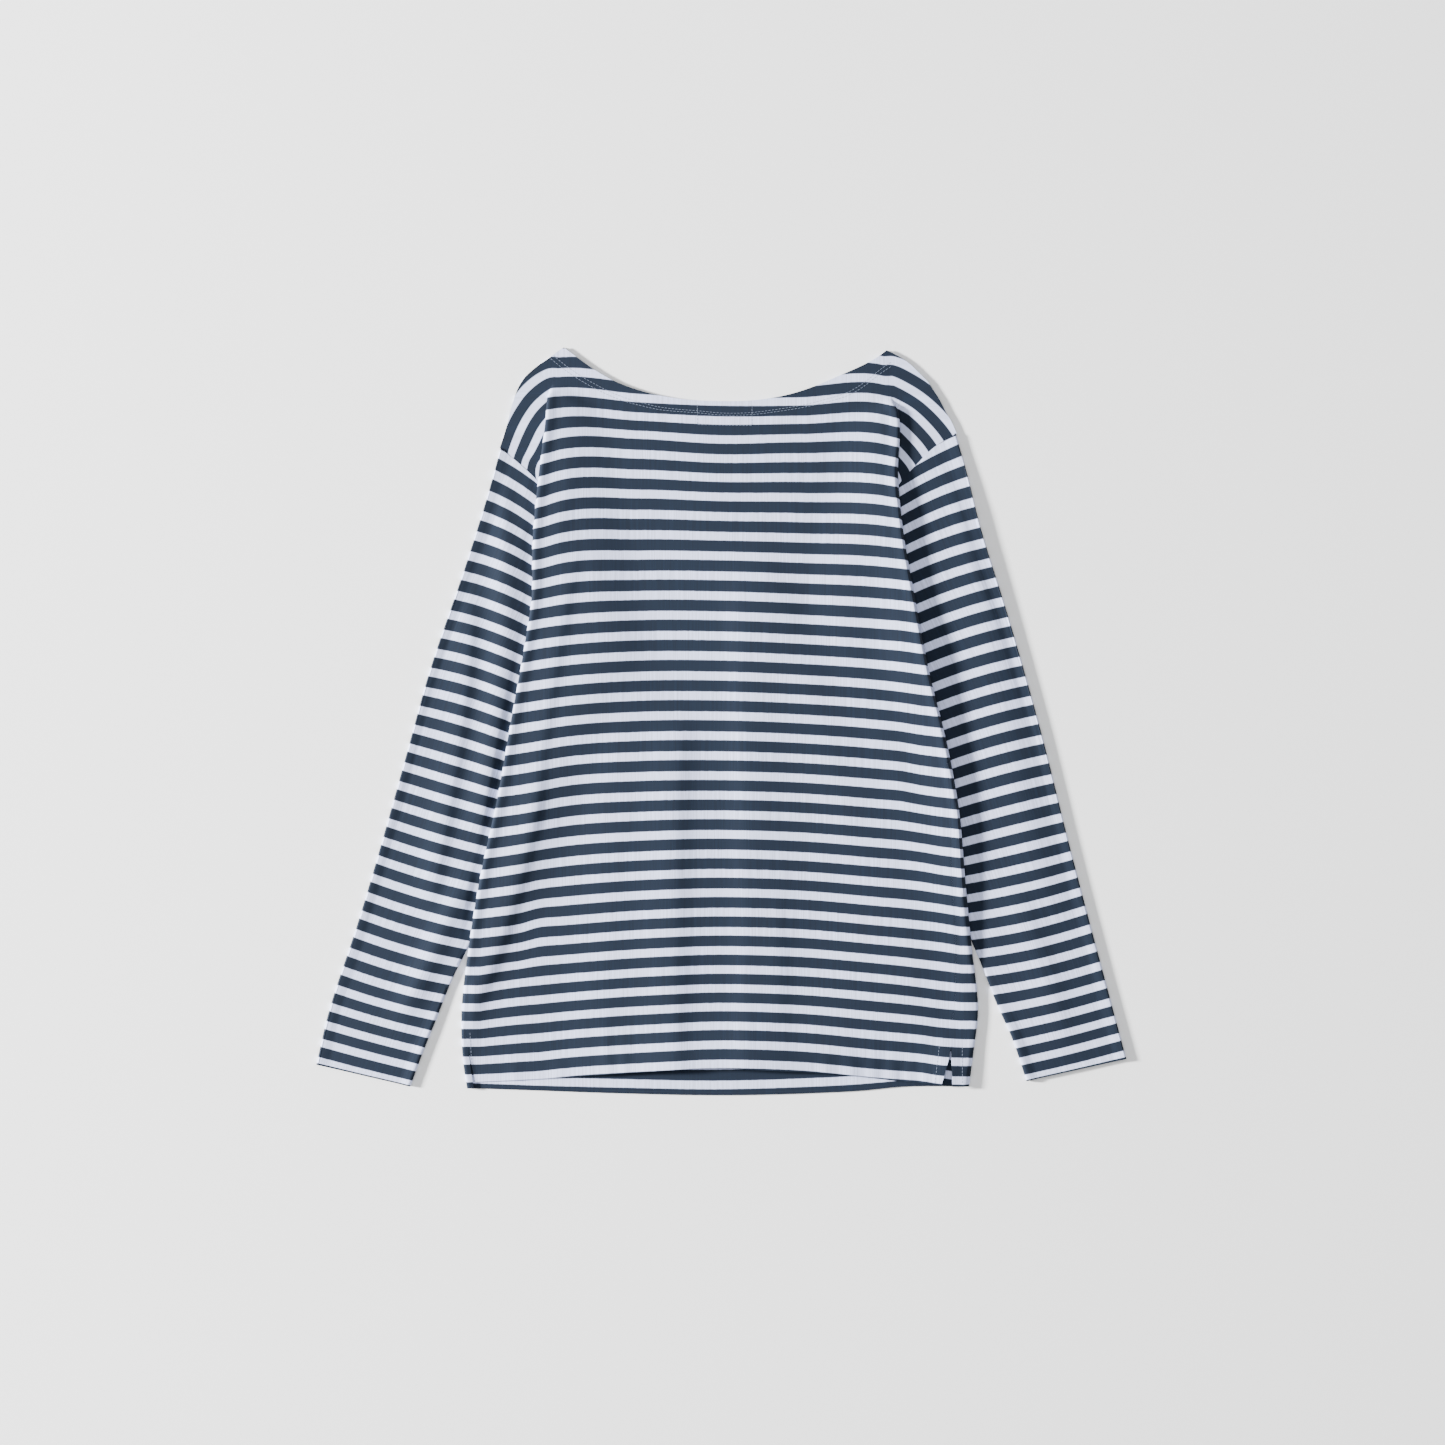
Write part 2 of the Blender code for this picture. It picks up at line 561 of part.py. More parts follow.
def sleeve_section(side, share):
    """Closed section of a flattened sleeve tube at a share of the way from armhole to cuff."""
    outer = line_at(SLEEVE_OUTER[side], share)
    inner = line_at(SLEEVE_INNER[side], share)
    width = float(np.hypot(*(inner - outer)))
    across_way = (inner - outer) / width
    shoulder = line_at(SLEEVE_OUTER[side], 0.0)
    underarm = line_at(SLEEVE_INNER[side], 0.0)
    arm_width = float(np.hypot(*(underarm - shoulder)))
    arm_way = (underarm - shoulder) / arm_width
    from_shoulder = armhole_points(side) - shoulder
    shares = from_shoulder @ arm_way / arm_width
    square = np.array([-arm_way[1], arm_way[0]])
    bows = from_shoulder @ square
    bow_left = 1.0 - ease(share / BOW_FADE)
    outer_turn = SOFT_EDGE
    opened = ease((share - INNER_EDGE_OPENS_FROM) / INNER_EDGE_OPENS_OVER)
    inner_turn = TIGHT_FOLD + (SOFT_EDGE - TIGHT_FOLD) * opened
    underarm_ease = UNDERARM_EASE * (1.0 - ease(share / UNDERARM_EASE_OVER))
    first = WALL / 2 + outer_turn
    last = width - WALL / 2 - inner_turn - underarm_ease

    def plan(distance):
        bow = np.interp(distance / width, shares, bows) * bow_left
        away = 0.0
        if share == 0.0:
            ends = 2.0 - ease(distance / CORNER_REACH) - ease((width - distance) / CORNER_REACH)
            away = SEAM_GAP + CORNER_GAP * ends
        return outer + across_way * distance + square * (bow + away)

    ring = []
    distances = np.clip(shares * width, first, last)
    relax = SOFT_EDGE * 2.0 - LAYER
    for distance in distances:
        place = plan(distance)
        height = ON_FRONT + relax * (1.0 - ease((distance - first) / EDGE_RELAX))
        height += (2.0 * inner_turn - LAYER) * (1.0 - ease((last - distance) / EDGE_RELAX))
        height += sleeve_fold_height(side, distance / width, share, place, width)
        ring.append((*place, height))
    for phi in np.linspace(0.0, math.pi, INNER_EDGE_POINTS)[1:-1]:
        place = plan(last) + across_way * inner_turn * math.sin(phi)
        ring.append((*place, ON_TABLE + inner_turn * (1 + math.cos(phi))))
    for distance in distances[::-1]:
        ring.append((*plan(distance), ON_TABLE))
    for phi in np.linspace(0.0, math.pi, OUTER_EDGE_POINTS)[1:-1]:
        place = plan(first) - across_way * outer_turn * math.sin(phi)
        ring.append((*place, ON_TABLE + outer_turn * (1 - math.cos(phi))))
    ring.append(ring[0])
    return np.array(ring)


def sleeve_grid(side):
    shares = np.linspace(0.0, 1.0, SLEEVE_ROWS)
    grid = np.array([sleeve_section(side, share) for share in shares])
    if side == "left":
        grid[..., 0] *= -1.0
    return grid


def cloth_material(name):
    material = bpy.data.materials.new(name + "_jersey")
    material.use_nodes = True
    surface = material.node_tree.nodes["Principled BSDF"]
    surface.inputs["Base Color"].default_value = (*CLOTH_COLOURS[name], 1.0)
    surface.inputs["Roughness"].default_value = CLOTH_ROUGHNESS
    surface.inputs["Metallic"].default_value = 0.0
    return material


def cloth_piece(name, grid, garment, collection, closed):
    """A grid laid on the points of its sections, given its wall by Solidify."""
    rows, columns = grid.shape[:2]
    bpy.ops.mesh.primitive_grid_add(x_subdivisions=columns - 1, y_subdivisions=rows - 1)
    piece = bpy.context.active_object
    piece.name = name
    piece.data.name = name
    piece.data.vertices.foreach_set("co", (grid * MM).ravel())
    piece.data.materials.append(cloth_material(name))
    if closed:
        weld = piece.modifiers.new("close the tube", "WELD")
        weld.merge_threshold = WELD_WITHIN * MM
    wall = piece.modifiers.new("wall", "SOLIDIFY")
    wall.thickness = WALL * MM
    wall.offset = 0.0
    for owner in piece.users_collection:
        owner.objects.unlink(piece)
    collection.objects.link(piece)
    piece.parent = garment
    return piece


def build():
    for obj in list(bpy.data.objects):
        bpy.data.objects.remove(obj, do_unlink=True)
    collection = bpy.data.collections.new("striped_jersey_top")
    bpy.context.scene.collection.children.link(collection)
    garment = bpy.data.objects.new("garment", None)
    collection.objects.link(garment)
    cloth_piece("back_panel", back_panel_grid(), garment, collection, False)
    cloth_piece("front_panel", front_panel_grid(), garment, collection, False)
    for side in ("left", "right"):
        cloth_piece(side + "_sleeve", sleeve_grid(side), garment, collection, True)


build()
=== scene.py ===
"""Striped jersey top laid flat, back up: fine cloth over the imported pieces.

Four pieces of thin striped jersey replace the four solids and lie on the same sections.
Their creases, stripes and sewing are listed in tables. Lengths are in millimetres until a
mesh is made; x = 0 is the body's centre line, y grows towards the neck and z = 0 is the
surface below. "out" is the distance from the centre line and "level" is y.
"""

import math

import bmesh
import bpy
import numpy as np
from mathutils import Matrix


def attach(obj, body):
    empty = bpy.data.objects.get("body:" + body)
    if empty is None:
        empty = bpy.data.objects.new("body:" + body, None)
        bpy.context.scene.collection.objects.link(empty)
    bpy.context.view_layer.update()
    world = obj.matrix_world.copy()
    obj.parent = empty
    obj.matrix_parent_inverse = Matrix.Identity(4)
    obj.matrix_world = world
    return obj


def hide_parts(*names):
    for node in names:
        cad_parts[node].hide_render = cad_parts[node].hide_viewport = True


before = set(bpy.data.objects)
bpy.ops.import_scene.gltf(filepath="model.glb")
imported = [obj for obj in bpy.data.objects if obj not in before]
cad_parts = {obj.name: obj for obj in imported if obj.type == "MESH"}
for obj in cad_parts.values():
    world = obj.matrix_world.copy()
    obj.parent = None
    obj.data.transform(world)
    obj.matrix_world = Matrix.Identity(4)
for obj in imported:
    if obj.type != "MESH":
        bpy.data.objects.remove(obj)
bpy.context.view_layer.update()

MM = 0.001

# The cloth and how it lies in layers, as in the solids
CLOTH = 1.0
WALL = 1.2
LAYER_GAP = 0.4
LAYER = WALL + LAYER_GAP
ON_TABLE = WALL / 2
ON_FRONT = ON_TABLE + LAYER
OVER_SLEEVE = 2 * LAYER
# Radius of a tight fold and of a soft edge, the run in which cloth settles beside an edge,
# and the height that a top layer's waviness goes up and down from
TIGHT_FOLD = LAYER / 2
SOFT_EDGE = 1.5
EDGE_RELAX = 10.0
RELIEF_BASE = 0.3
# Slopes of the body over the sleeve: length on the underside and on the top side, how far
# inside the sleeve's edge they end, and how much further inside on the top side
RAMP = 16.0
TOP_RAMP = 52.0
RAMP_CLEAR = 3.0
TOP_RAMP_LEAD = 3.0
# Gaps at seams: flat, added where a seam lies on the folded edge and over what reach, at the
# armhole, and the least step from one column to the next
SEAM_GAP = 0.12
ROLLED_SEAM_GAP = 0.25
ROLLED_SEAM_REACH = 3.0
ARMHOLE_GAP = 1.5 * SEAM_GAP
LEAST_STEP = 0.25

# Levels that rule the body, and how the armhole folds grow between theirs
RIDGE_TOP = {"left": 311.0, "right": 300.0}
FOLD_TOP = {"left": 297.0, "right": 285.0}
FOLD_GROWTH_POWER = 1.6
FOLD_CURVE = 0.35
FOLD_LOOSENESS = 1.3
UNDERARM = 74.5
UNDERARM_TURN = 11.0
UNDERARM_SPREAD = 3.0
SLIT_TOP = -298.7
# Least cloth beyond the armhole fold's turn, and least width of the back on the underside
LEAST_SHOULDER = 0.4
LEAST_UNDERSIDE = 3.0

# Points that a section is drawn with, before the columns are read off it
LAYER_POINTS = 24
LOWER_TURN_POINTS = 17
TURN_POINTS = 25
UNDERSIDE_POINTS = 200
LINE_POINTS = 60
CREASE_POINTS = 33
TINY = 1e-6

# Necklines: the back's shows and the front's is lower, behind it
NECK_SAG = (  # x, drop below the straight line between the two neck points
    (-145.2, 0.0), (-134.0, 8.3), (-118.2, 19.5), (-97.7, 31.0), (-74.7, 39.2),
    (-41.8, 45.9), (-0.7, 48.1), (37.9, 46.0), (64.6, 40.5), (90.7, 31.4),
    (108.7, 23.4), (134.2, 11.5), (143.2, 6.3), (151.4, 0.0),
)
FRONT_NECK_DEPTH = 1.5
FRONT_SAG_POWER = 0.6

# Hems: x, level
BACK_HEM = (
    (-226.0, -331.8), (-148.9, -327.8), (-66.1, -321.8), (-9.0, -318.4), (39.7, -320.8),
    (107.8, -324.7), (163.9, -331.0), (202.4, -334.4),
)
FRONT_HEM = (
    (-234.4, -337.6), (-185.7, -339.2), (-93.7, -342.4), (7.5, -344.1), (89.4, -342.0),
    (127.1, -340.1), (163.9, -336.5), (227.4, -335.8),
)
HEM_LIFT = 6.5
HEM_LIFT_REACH = 45.0
HEM_LIFT_HALF_WIDTH = 170.0

# Lines of each side, rows of (level, out)
SHOULDER = {
    "left": (
        (343.8, 145.2), (339.5, 151.6), (333.4, 159.2), (328.5, 166.6), (322.0, 174.8),
        (315.6, 181.4), (309.1, 185.7), (292.6, 192.1), (271.0, 197.8), (251.2, 204.1),
    ),
    "right": (
        (340.4, 151.4), (335.8, 161.2), (329.4, 171.3), (320.2, 181.1), (312.1, 189.2),
        (304.5, 194.3), (294.4, 200.7), (284.3, 205.7), (276.0, 210.6), (264.4, 215.8),
    ),
}
ARMHOLE = {
    "left": (
        (251.2, 204.1), (237.4, 187.0), (220.8, 169.5), (194.1, 152.5), (148.1, 139.7),
        (111.3, 131.4), (UNDERARM, 123.1),
    ),
    "right": (
        (264.4, 215.8), (254.0, 198.2), (235.2, 178.2), (218.0, 163.0), (192.3, 151.1),
        (146.3, 142.8), (106.7, 134.5), (UNDERARM, 127.1),
    ),
}
FOLD_EDGE = {
    "left": (
        (330.0, 157.5), (296.2, 160.8), (277.8, 162.0), (230.9, 167.8), (163.8, 174.2),
        (113.2, 175.0), (70.8, 181.2), (0.0, 193.9), (-71.8, 206.6), (-146.3, 222.8),
        (-207.0, 232.6), (-271.8, 239.7), (-319.2, 237.3), (-337.6, 234.4),
    ),
    "right": (
        (330.0, 155.0), (305.4, 158.1), (280.6, 163.0), (224.5, 162.0), (177.6, 166.4),
        (109.5, 178.2), (42.3, 191.2), (-18.4, 206.4), (-78.2, 217.5), (-150.0, 224.1),
        (-207.0, 229.5), (-270.5, 235.5), (-302.7, 231.7), (-335.8, 227.4),
    ),
}
# Side seam: level, how far the back's edge and the front's lie under the body's folded
# edge. A negative distance is on the top side, where the front wraps over the edge.
SIDE_SEAM = {
    "left": (
        (UNDERARM, 57.4, 57.4), (20.0, 47.0, 47.0), (-60.0, 34.0, 34.0),
        (-150.0, 19.0, 19.0), (-225.0, 7.0, 7.0), (-272.0, 0.0, 0.0),
        (SLIT_TOP, -5.0, -5.0), (-337.6, -9.0, -6.0),
    ),
    "right": (
        (UNDERARM, 57.8, 57.8), (63.5, 58.0, 58.0), (44.0, 37.0, 37.0), (20.0, 17.0, 17.0),
        (0.0, 6.0, 6.0),
        (-18.4, 0.0, 0.0), (-45.0, -4.0, -4.0), (-78.0, -7.2, -7.2), (-124.0, -11.2, -11.2),
        (-210.0, -14.7, -14.7), (-252.0, -20.0, -20.0), (-270.0, -22.4, -22.4),
        (SLIT_TOP, -20.9, -20.9), (-335.8, -25.4, -15.2),
    ),
}
SLEEVE_OUTER = {
    "left": (
        (251.2, 204.1), (222.6, 211.8), (148.1, 234.4), (37.7, 271.2), (-35.9, 291.5),
        (-182.2, 333.8), (-274.2, 363.4), (-315.8, 372.9),
    ),
    "right": (
        (264.4, 215.8), (234.6, 224.6), (178.0, 238.6), (105.8, 260.5), (-2.8, 291.6),
        (-117.8, 320.6), (-262.2, 359.0), (-310.5, 372.0),
    ),
}
SLEEVE_INNER = {
    "left": (
        (UNDERARM, 123.1), (-60.0, 175.5), (-207.0, 232.6), (-234.6, 246.6),
        (-274.2, 262.4), (-306.8, 275.5), (-336.0, 286.2),
    ),
    "right": (
        (UNDERARM, 127.1), (-60.0, 177.5), (-202.4, 229.5), (-226.1, 239.4),
        (-259.4, 252.3), (-291.6, 266.6), (-331.0, 279.9),
    ),
}

# Rows of the body panels: left level, right level, share of the neck's sag
TOP_ROWS = (
    (343.8, 340.4, 1.00), (337.0, 335.0, 0.93), (328.0, 328.0, 0.85), (318.0, 319.0, 0.76),
    (307.0, 309.0, 0.67), (296.0, 299.0, 0.58), (284.0, 289.0, 0.49), (268.0, 277.0, 0.39),
    (251.2, 264.4, 0.29), (236.0, 246.0, 0.20), (219.0, 224.0, 0.12), (199.0, 200.0, 0.05),
    (170.0, 170.0, 0.0), (138.0, 138.0, 0.0), (106.0, 106.0, 0.0),
    (UNDERARM, UNDERARM, 0.0), (69.0, 69.0, 0.0), (63.0, 63.0, 0.0), (44.0, 44.0, 0.0),
)
LOW_LEVELS = (
    20.0, 4.0, -7.0, -13.0, -19.0, -25.0, -33.0, -60.0, -96.0, -132.0, -168.0, -196.0,
    -218.0, -240.0, -262.0, -280.0, SLIT_TOP,
)
SLANT_HALF_WIDTH = 200.0

# Columns and rows of the fine meshes. The hidden columns run up to the inner fold, round it,
# out to the folded edge and round that.
HIDDEN_COLUMNS = (8, 5, 9, 7)
EDGE_STEPS = (0.5, 1.2, 2.1, 3.2, 4.6, 6.3, 8.4, 11.0)
TOP_COLUMNS = 60
FRONT_COLUMNS = (6, 7, 46)
ROW_STEP = 3.1
FRONT_ROW_STEP = 4.0
HEM_ROW_COUNT = 14
FINE_REACH = 24.0
SECTION_POINTS = 80
SLEEVE_ROWS = 200
SLEEVE_COLUMNS = 66
SLEEVE_COLUMN_WIDTH = 2.0
INNER_TURN_POINTS = 8
OUTER_TURN_POINTS = 9

# A crease's height fades out over the folded edge, this far to both sides, and this much
# further where there is no fold yet
LIFT_RUN = 1.2
OPEN_LIFT_RUN = 20.0

# Soft creases: name, x and level of the start, middle and end, then the width to the left,
# the width to the right and the height
BACK_CREASES = (
    ("upper left", -141.0, 225.0, -147.0, 190.0, -150.0, 150.0, 12.0, 8.0, 0.9),
    ("left side", -136.0, 150.0, -160.0, 10.0, -172.0, -80.0, 13.0, 6.0, 1.3),
    ("low left", -168.0, -60.0, -194.0, -170.0, -228.0, -262.0, 14.0, 7.0, 2.2),
    ("left", -88.0, 80.0, -104.0, -120.0, -112.0, -320.0, 26.0, 22.0, 1.3),
    ("centre left", -42.0, -10.0, -45.0, -170.0, -45.0, -340.0, 34.0, 14.0, 2.7),
    ("centre right", 18.0, 120.0, 24.0, -110.0, 24.0, -330.0, 14.0, 36.0, 2.0),
    ("right diagonal", 28.0, 150.0, 112.0, -30.0, 178.0, -230.0, 36.0, 19.0, 1.6),
    ("low right", 52.0, -165.0, 52.0, -225.0, 54.0, -295.0, 12.0, 9.0, 0.8),
    ("right side", 150.0, 225.0, 150.0, 130.0, 172.0, 15.0, 22.0, 24.0, 0.8),
)
# Puffed roll along the right folded edge: level, how far in, width inwards, width outwards, height
RIGHT_EDGE_ROLL = (
    (250.0, 3.0, 24.0, 9.0, 0.0), (200.0, 3.0, 24.0, 9.0, 3.6), (110.0, 3.0, 24.0, 9.0, 4.6),
    (60.0, 3.0, 26.0, 9.0, 7.2), (10.0, 3.0, 26.0, 9.0, 6.2), (-60.0, 3.0, 24.0, 9.0, 5.2),
    (-130.0, 3.0, 22.0, 9.0, 4.2), (-200.0, 3.0, 20.0, 9.0, 1.4), (-240.0, 3.0, 20.0, 9.0, 0.0),
)
# Small upright puckers over the back's hem: x, width, height, how far up
HEM_PUCKERS = (
    (96.0, 5.0, 0.7, 30.0), (118.0, 6.0, 0.9, 38.0), (139.0, 5.0, 0.8, 44.0),
    (157.0, 5.0, 1.1, 38.0), (173.0, 4.0, 0.9, 42.0), (186.0, 4.5, 1.0, 30.0),
    (-90.0, 5.0, 0.9, 60.0), (-105.0, 6.0, 0.9, 80.0), (-150.0, 6.0, 0.6, 30.0),
    (-190.0, 6.0, 0.7, 30.0),
)
# The slit stands off the front below: x, level, reach sideways and along, height
SLIT_BULGE = (208.0, -325.0, 19.0, 30.0, 4.2)
LEFT_SLEEVE_CREASES = (
    ("outer", -232.0, 105.0, -240.0, 0.0, -268.0, -165.0, 14.0, 8.0, 2.2),
    ("by the body", -194.0, 172.0, -204.0, 40.0, -224.0, -100.0, 12.0, 11.0, 2.8),
    ("upper", -199.0, 215.0, -201.0, 170.0, -206.0, 110.0, 9.0, 7.0, 1.2),
    ("low", -236.0, -145.0, -262.0, -205.0, -292.0, -268.0, 12.0, 12.0, 3.0),
)
RIGHT_SLEEVE_CREASES = (
    ("middle", 222.0, 215.0, 253.0, 40.0, 300.0, -175.0, 22.0, 18.0, 2.2),
    ("low", 268.0, -150.0, 290.0, -215.0, 312.0, -285.0, 18.0, 14.0, 1.8),
)
CREASE_TAPER = 38.0
# Slight waviness: height, length across, wander, its length, length along, slant and start
WAVES = (
    (0.28, 31.0, 0.6, 83.0, 97.0, 1.0 / 210.0, 0.8),
    (0.09, 11.3, 1.9, 61.0, 71.0, 0.0, 2.1),
)

# How a sleeve leaves the armhole's bow, frees its cuff and stays flat below the body's edge
BOW_SHARE = 0.35
CUFF_FROM = 0.75
CUFF_SHARE = 0.2
UNDERARM_INSET = 0.6
UNDERARM_SHARE = 0.1
CLEAR_OF_EDGE = 1.0
CLEAR_RUN = 9.0
BESIDE_BODY_UNTIL = -230.0
EDGE_COLUMNS = 6.0
# The cuff's hem ends in a thin line of the next dark stripe
CUFF_EDGE_STRIPE = 33.25

# Stripes of the back: stripe number, level at the centre
STRIPE_CENTRE = (
    (-1.0, 324.0), (1.0, 289.9), (3.0, 255.1), (6.0, 202.3), (9.0, 147.9), (12.0, 92.7),
    (15.0, 37.4), (18.0, -17.9), (21.0, -72.1), (24.0, -125.9), (27.0, -179.4),
    (30.0, -232.1), (33.0, -284.0), (35.0, -318.2),
)
# How far a stripe lies below its centre: stripe number, then the drop at each place
STRIPE_PLACES = (
    -222.5, -204.0, -185.7, -167.3, -148.9, -75.3, -1.7,
    71.9, 145.5, 163.9, 182.4, 200.7, 219.1,
)
STRIPE_DROP = (
    (-1.0, 0.0, -2.0, -5.0, -8.0, -10.5, -4.0, 0.0, -0.5, -4.0, 1.0, 4.0, 6.0, 8.0),
    (1.0, 0.0, -2.0, -4.0, -6.5, -8.5, -3.1, 0.0, -0.2, -2.3, 2.2, 5.0, 7.0, 9.0),
    (3.0, 4.0, 3.0, 2.0, 0.0, -4.7, -4.4, 0.0, -1.4, -0.2, 4.0, 7.0, 9.0, 11.0),
    (6.0, 10.0, 9.0, 8.0, 5.8, 0.1, -2.5, 0.0, 0.7, 3.5, 6.5, 9.0, 11.0, 13.0),
    (9.0, 12.0, 11.0, 10.0, 7.8, 3.1, -0.6, 0.0, 2.3, 5.8, 7.9, 10.5, 12.5, 14.5),
    (12.0, 13.5, 12.5, 11.0, 7.3, 4.7, -0.3, 0.0, 3.1, 7.8, 9.3, 12.0, 14.0, 16.0),
    (15.0, 15.0, 13.5, 10.8, 8.1, 5.5, 0.1, 0.0, 3.0, 8.2, 10.3, 13.0, 15.0, 17.0),
    (20.0, 17.5, 15.3, 13.0, 9.7, 6.1, 0.8, 0.0, 2.2, 7.8, 9.4, 12.9, 15.5, 17.3),
    (24.0, 19.1, 16.7, 13.7, 10.3, 7.8, 2.0, 0.0, 2.3, 8.1, 9.6, 11.6, 14.8, 17.3),
    (27.0, 19.7, 17.6, 15.0, 9.8, 8.4, 2.6, 0.0, 2.0, 8.4, 10.0, 11.9, 13.9, 17.2),
    (30.0, 18.0, 14.7, 12.2, 10.4, 8.6, 2.9, 0.0, 2.1, 8.2, 10.1, 12.4, 14.8, 16.7),
    (35.0, 13.6, 13.0, 12.0, 11.0, 8.9, 3.5, 0.0, 2.4, 9.6, 10.9, 12.3, 14.8, 15.6),
)
# Beside the armhole fold the stripes turn down round a point: out and level of that point
SHOULDER_PIVOT = {"left": (125.9, 230.9), "right": (129.0, 221.7)}
# Turn in degrees, distance of stripe 0 from the point, width of one stripe
SHOULDER_STRIPES = {
    "left": (
        (10.0, 88.5, 18.4), (20.0, 91.0, 18.4), (36.0, 88.5, 18.0), (48.0, 85.0, 17.2),
        (61.0, 82.4, 16.8), (73.0, 81.3, 15.8), (80.0, 81.0, 14.6), (90.0, 81.0, 13.8),
    ),
    "right": (
        (8.0, 90.4, 17.9), (17.0, 91.6, 17.9), (25.0, 90.7, 17.5), (35.0, 90.4, 17.0),
        (49.0, 90.6, 17.2), (63.0, 92.6, 17.3), (80.0, 95.7, 17.1), (92.0, 97.0, 17.0),
    ),
}
# Front: x, level where its last dark stripe, number 35, starts above the hem
FRONT_LAST_STRIPE = (
    (-234.0, -333.0), (-222.0, -333.3), (-167.0, -335.2), (-94.0, -337.0), (-1.7, -338.5),
    (68.0, -336.7), (127.0, -333.8), (149.0, -332.0), (205.0, -328.6), (229.0, -333.5),
)
FRONT_STRIPE_PITCH = 17.9
FRONT_LAST_NUMBER = 35.0
# Where the shoulder's own stripes blend into the body's, along the section and down it, and
# how far round an edge the stripes follow it
STRIPE_BLEND = 5.0
SHOULDER_STRIPES_END = 140.0
SHOULDER_STRIPES_FADE = 60.0
WRAPPED_STRIPE_REACH = 10.0
CARRY_RUN = 2.0
STRIPE_OVERRUN = 5.0
# Sleeves: stripe number, level at the outer edge, slope there, bend per mm
SLEEVE_STRIPES = {
    "left": (
        (-1.0, 281.0, 0.55, 0.004), (1.0, 242.1, 0.50, 0.004), (3.0, 203.8, 0.35, 0.0045),
        (5.0, 166.5, 0.24, 0.0035), (8.0, 112.0, 0.20, 0.0024), (12.0, 41.4, 0.17, 0.0018),
        (16.0, -27.9, 0.285, 0.0002), (20.0, -96.6, 0.345, -0.0006), (22.0, -130.4, 0.37, -0.0009),
        (26.0, -198.2, 0.385, -0.0010), (28.0, -232.6, 0.38, -0.0011), (30.0, -266.2, 0.32, -0.0005),
        (32.0, -299.0, 0.285, -0.0003), (34.0, -332.4, 0.265, -0.0003),
    ),
    "right": (
        (-1.0, 293.5, 0.50, 0.002), (1.0, 255.0, 0.42, 0.002), (3.0, 216.5, 0.27, 0.0025),
        (5.0, 178.3, 0.22, 0.002), (8.0, 124.2, 0.22, 0.0015), (12.0, 51.3, 0.20, 0.0012),
        (16.0, -20.4, 0.20, 0.0009), (20.0, -92.4, 0.24, 0.0001), (22.0, -127.0, 0.28, -0.0005),
        (24.0, -159.9, 0.325, -0.0009), (28.0, -228.3, 0.32, -0.0009), (30.0, -261.5, 0.295, -0.0005),
        (32.0, -293.3, 0.285, -0.0004), (34.0, -326.0, 0.272, -0.0004),
    ),
}

# Yarns, half the width of a dark stripe, and the move that brings its middle to one half
DARK_YARN = (0.0063, 0.0120, 0.0245, 1.0)
LIGHT_YARN = (0.60, 0.650, 0.88, 1.0)
DARK_HALF = 0.29
DARK_FROM_MIDDLE = 0.5 - DARK_HALF

# The knit: a stripe's soft edge and its wandering, ribs, how far these change the shade, the
# gloss and the height, then the loops: wales across, and courses from stripe to stripe
EDGE_SHARPNESS = 24.0
EDGE_WANDER = 0.03
WANDER_PER_MM = 0.2
RIBS_PER_MM = 0.8
RIBS_PER_STRIPE = 0.35
FUZZ = 0.6
FUZZ_SHADE = 1.5
FUZZ_GLOSS = 0.2
FUZZ_HEIGHT = 1.5
ROUGHNESS = 0.84
WALES_PER_MM = 1.1
COURSES_PER_STRIPE = 24.0
KNIT_BUMP = {"Strength": 0.25, "Distance": 0.0002}
CLOTH_SURFACE = {"Sheen Weight": 0.03, "Sheen Roughness": 0.5, "Specular IOR Level": 0.2}

# Rows of stitches as points (x, level), with how far the neck's upper row lies above its lower
NECK_STITCHES = (
    (-157.6, 333.4, 5.0), (-147.7, 325.2, 4.8), (-132.3, 314.6, 4.2), (-117.3, 306.0, 4.0),
    (-92.7, 294.9, 3.4), (-74.6, 289.9, 2.9), (-58.1, 286.3, 2.4), (-41.8, 284.6, 2.0),
    (-21.9, 283.2, 1.9), (-0.7, 281.2, 1.9), (28.2, 281.7, 1.9), (49.6, 284.3, 2.0),
    (74.2, 288.2, 2.2), (94.0, 292.6, 2.6), (123.5, 303.0, 3.2), (135.1, 311.0, 3.4),
    (144.9, 318.7, 3.8), (155.7, 326.0, 4.0),
)
LABEL_STITCHES = (((-22.4, 291.6), (-22.4, 272.4), (27.8, 271.6), (27.8, 290.8)),)
VENT_STITCHES = (
    ((199.8, -298.5), (195.6, -333.2)),
    ((-231.4, -286.0), (-229.3, -325.7), (-226.9, -331.5)),
)
VENT_STITCHES_FRONT = (((220.9, -299.0), (220.9, -333.0)),)
# Sewing: a stitch and the space after it, the thread and how far its middle stands out of
# the cloth, the most that a stitch climbs, and the height from which its ends are dropped
STITCH_LENGTH = 2.3
STITCH_SPACE = 0.9
THREAD = 0.34
THREAD_STANDS_OUT = 0.22
MOST_STEP = 1.5
DROP_FROM = 50.0
NECK_ROW_POINTS = 80

# One stitch of unit length and width: its straight part, and its ends, which dip and narrow.
# The thread's twist and its two shades.
STITCH_SIDES = 6
STITCH_STRAIGHT = 0.64
STITCH_DIP = 0.25
STITCH_NARROWS_TO = 0.45
END_FACE = 0.9
ORDER_DIGITS = 4
THREAD_TWIST = {"Scale": 900.0, "Distortion": 1.5}
THREAD_SHADE = (0.10, 0.125, 0.18, 1.0)
THREAD_LIGHT = (0.18, 0.21, 0.28, 1.0)
THREAD_ROUGHNESS = 0.7

# Cloth pieces: the angle that is still shaded smooth
SMOOTH_ANGLE = math.radians(50)

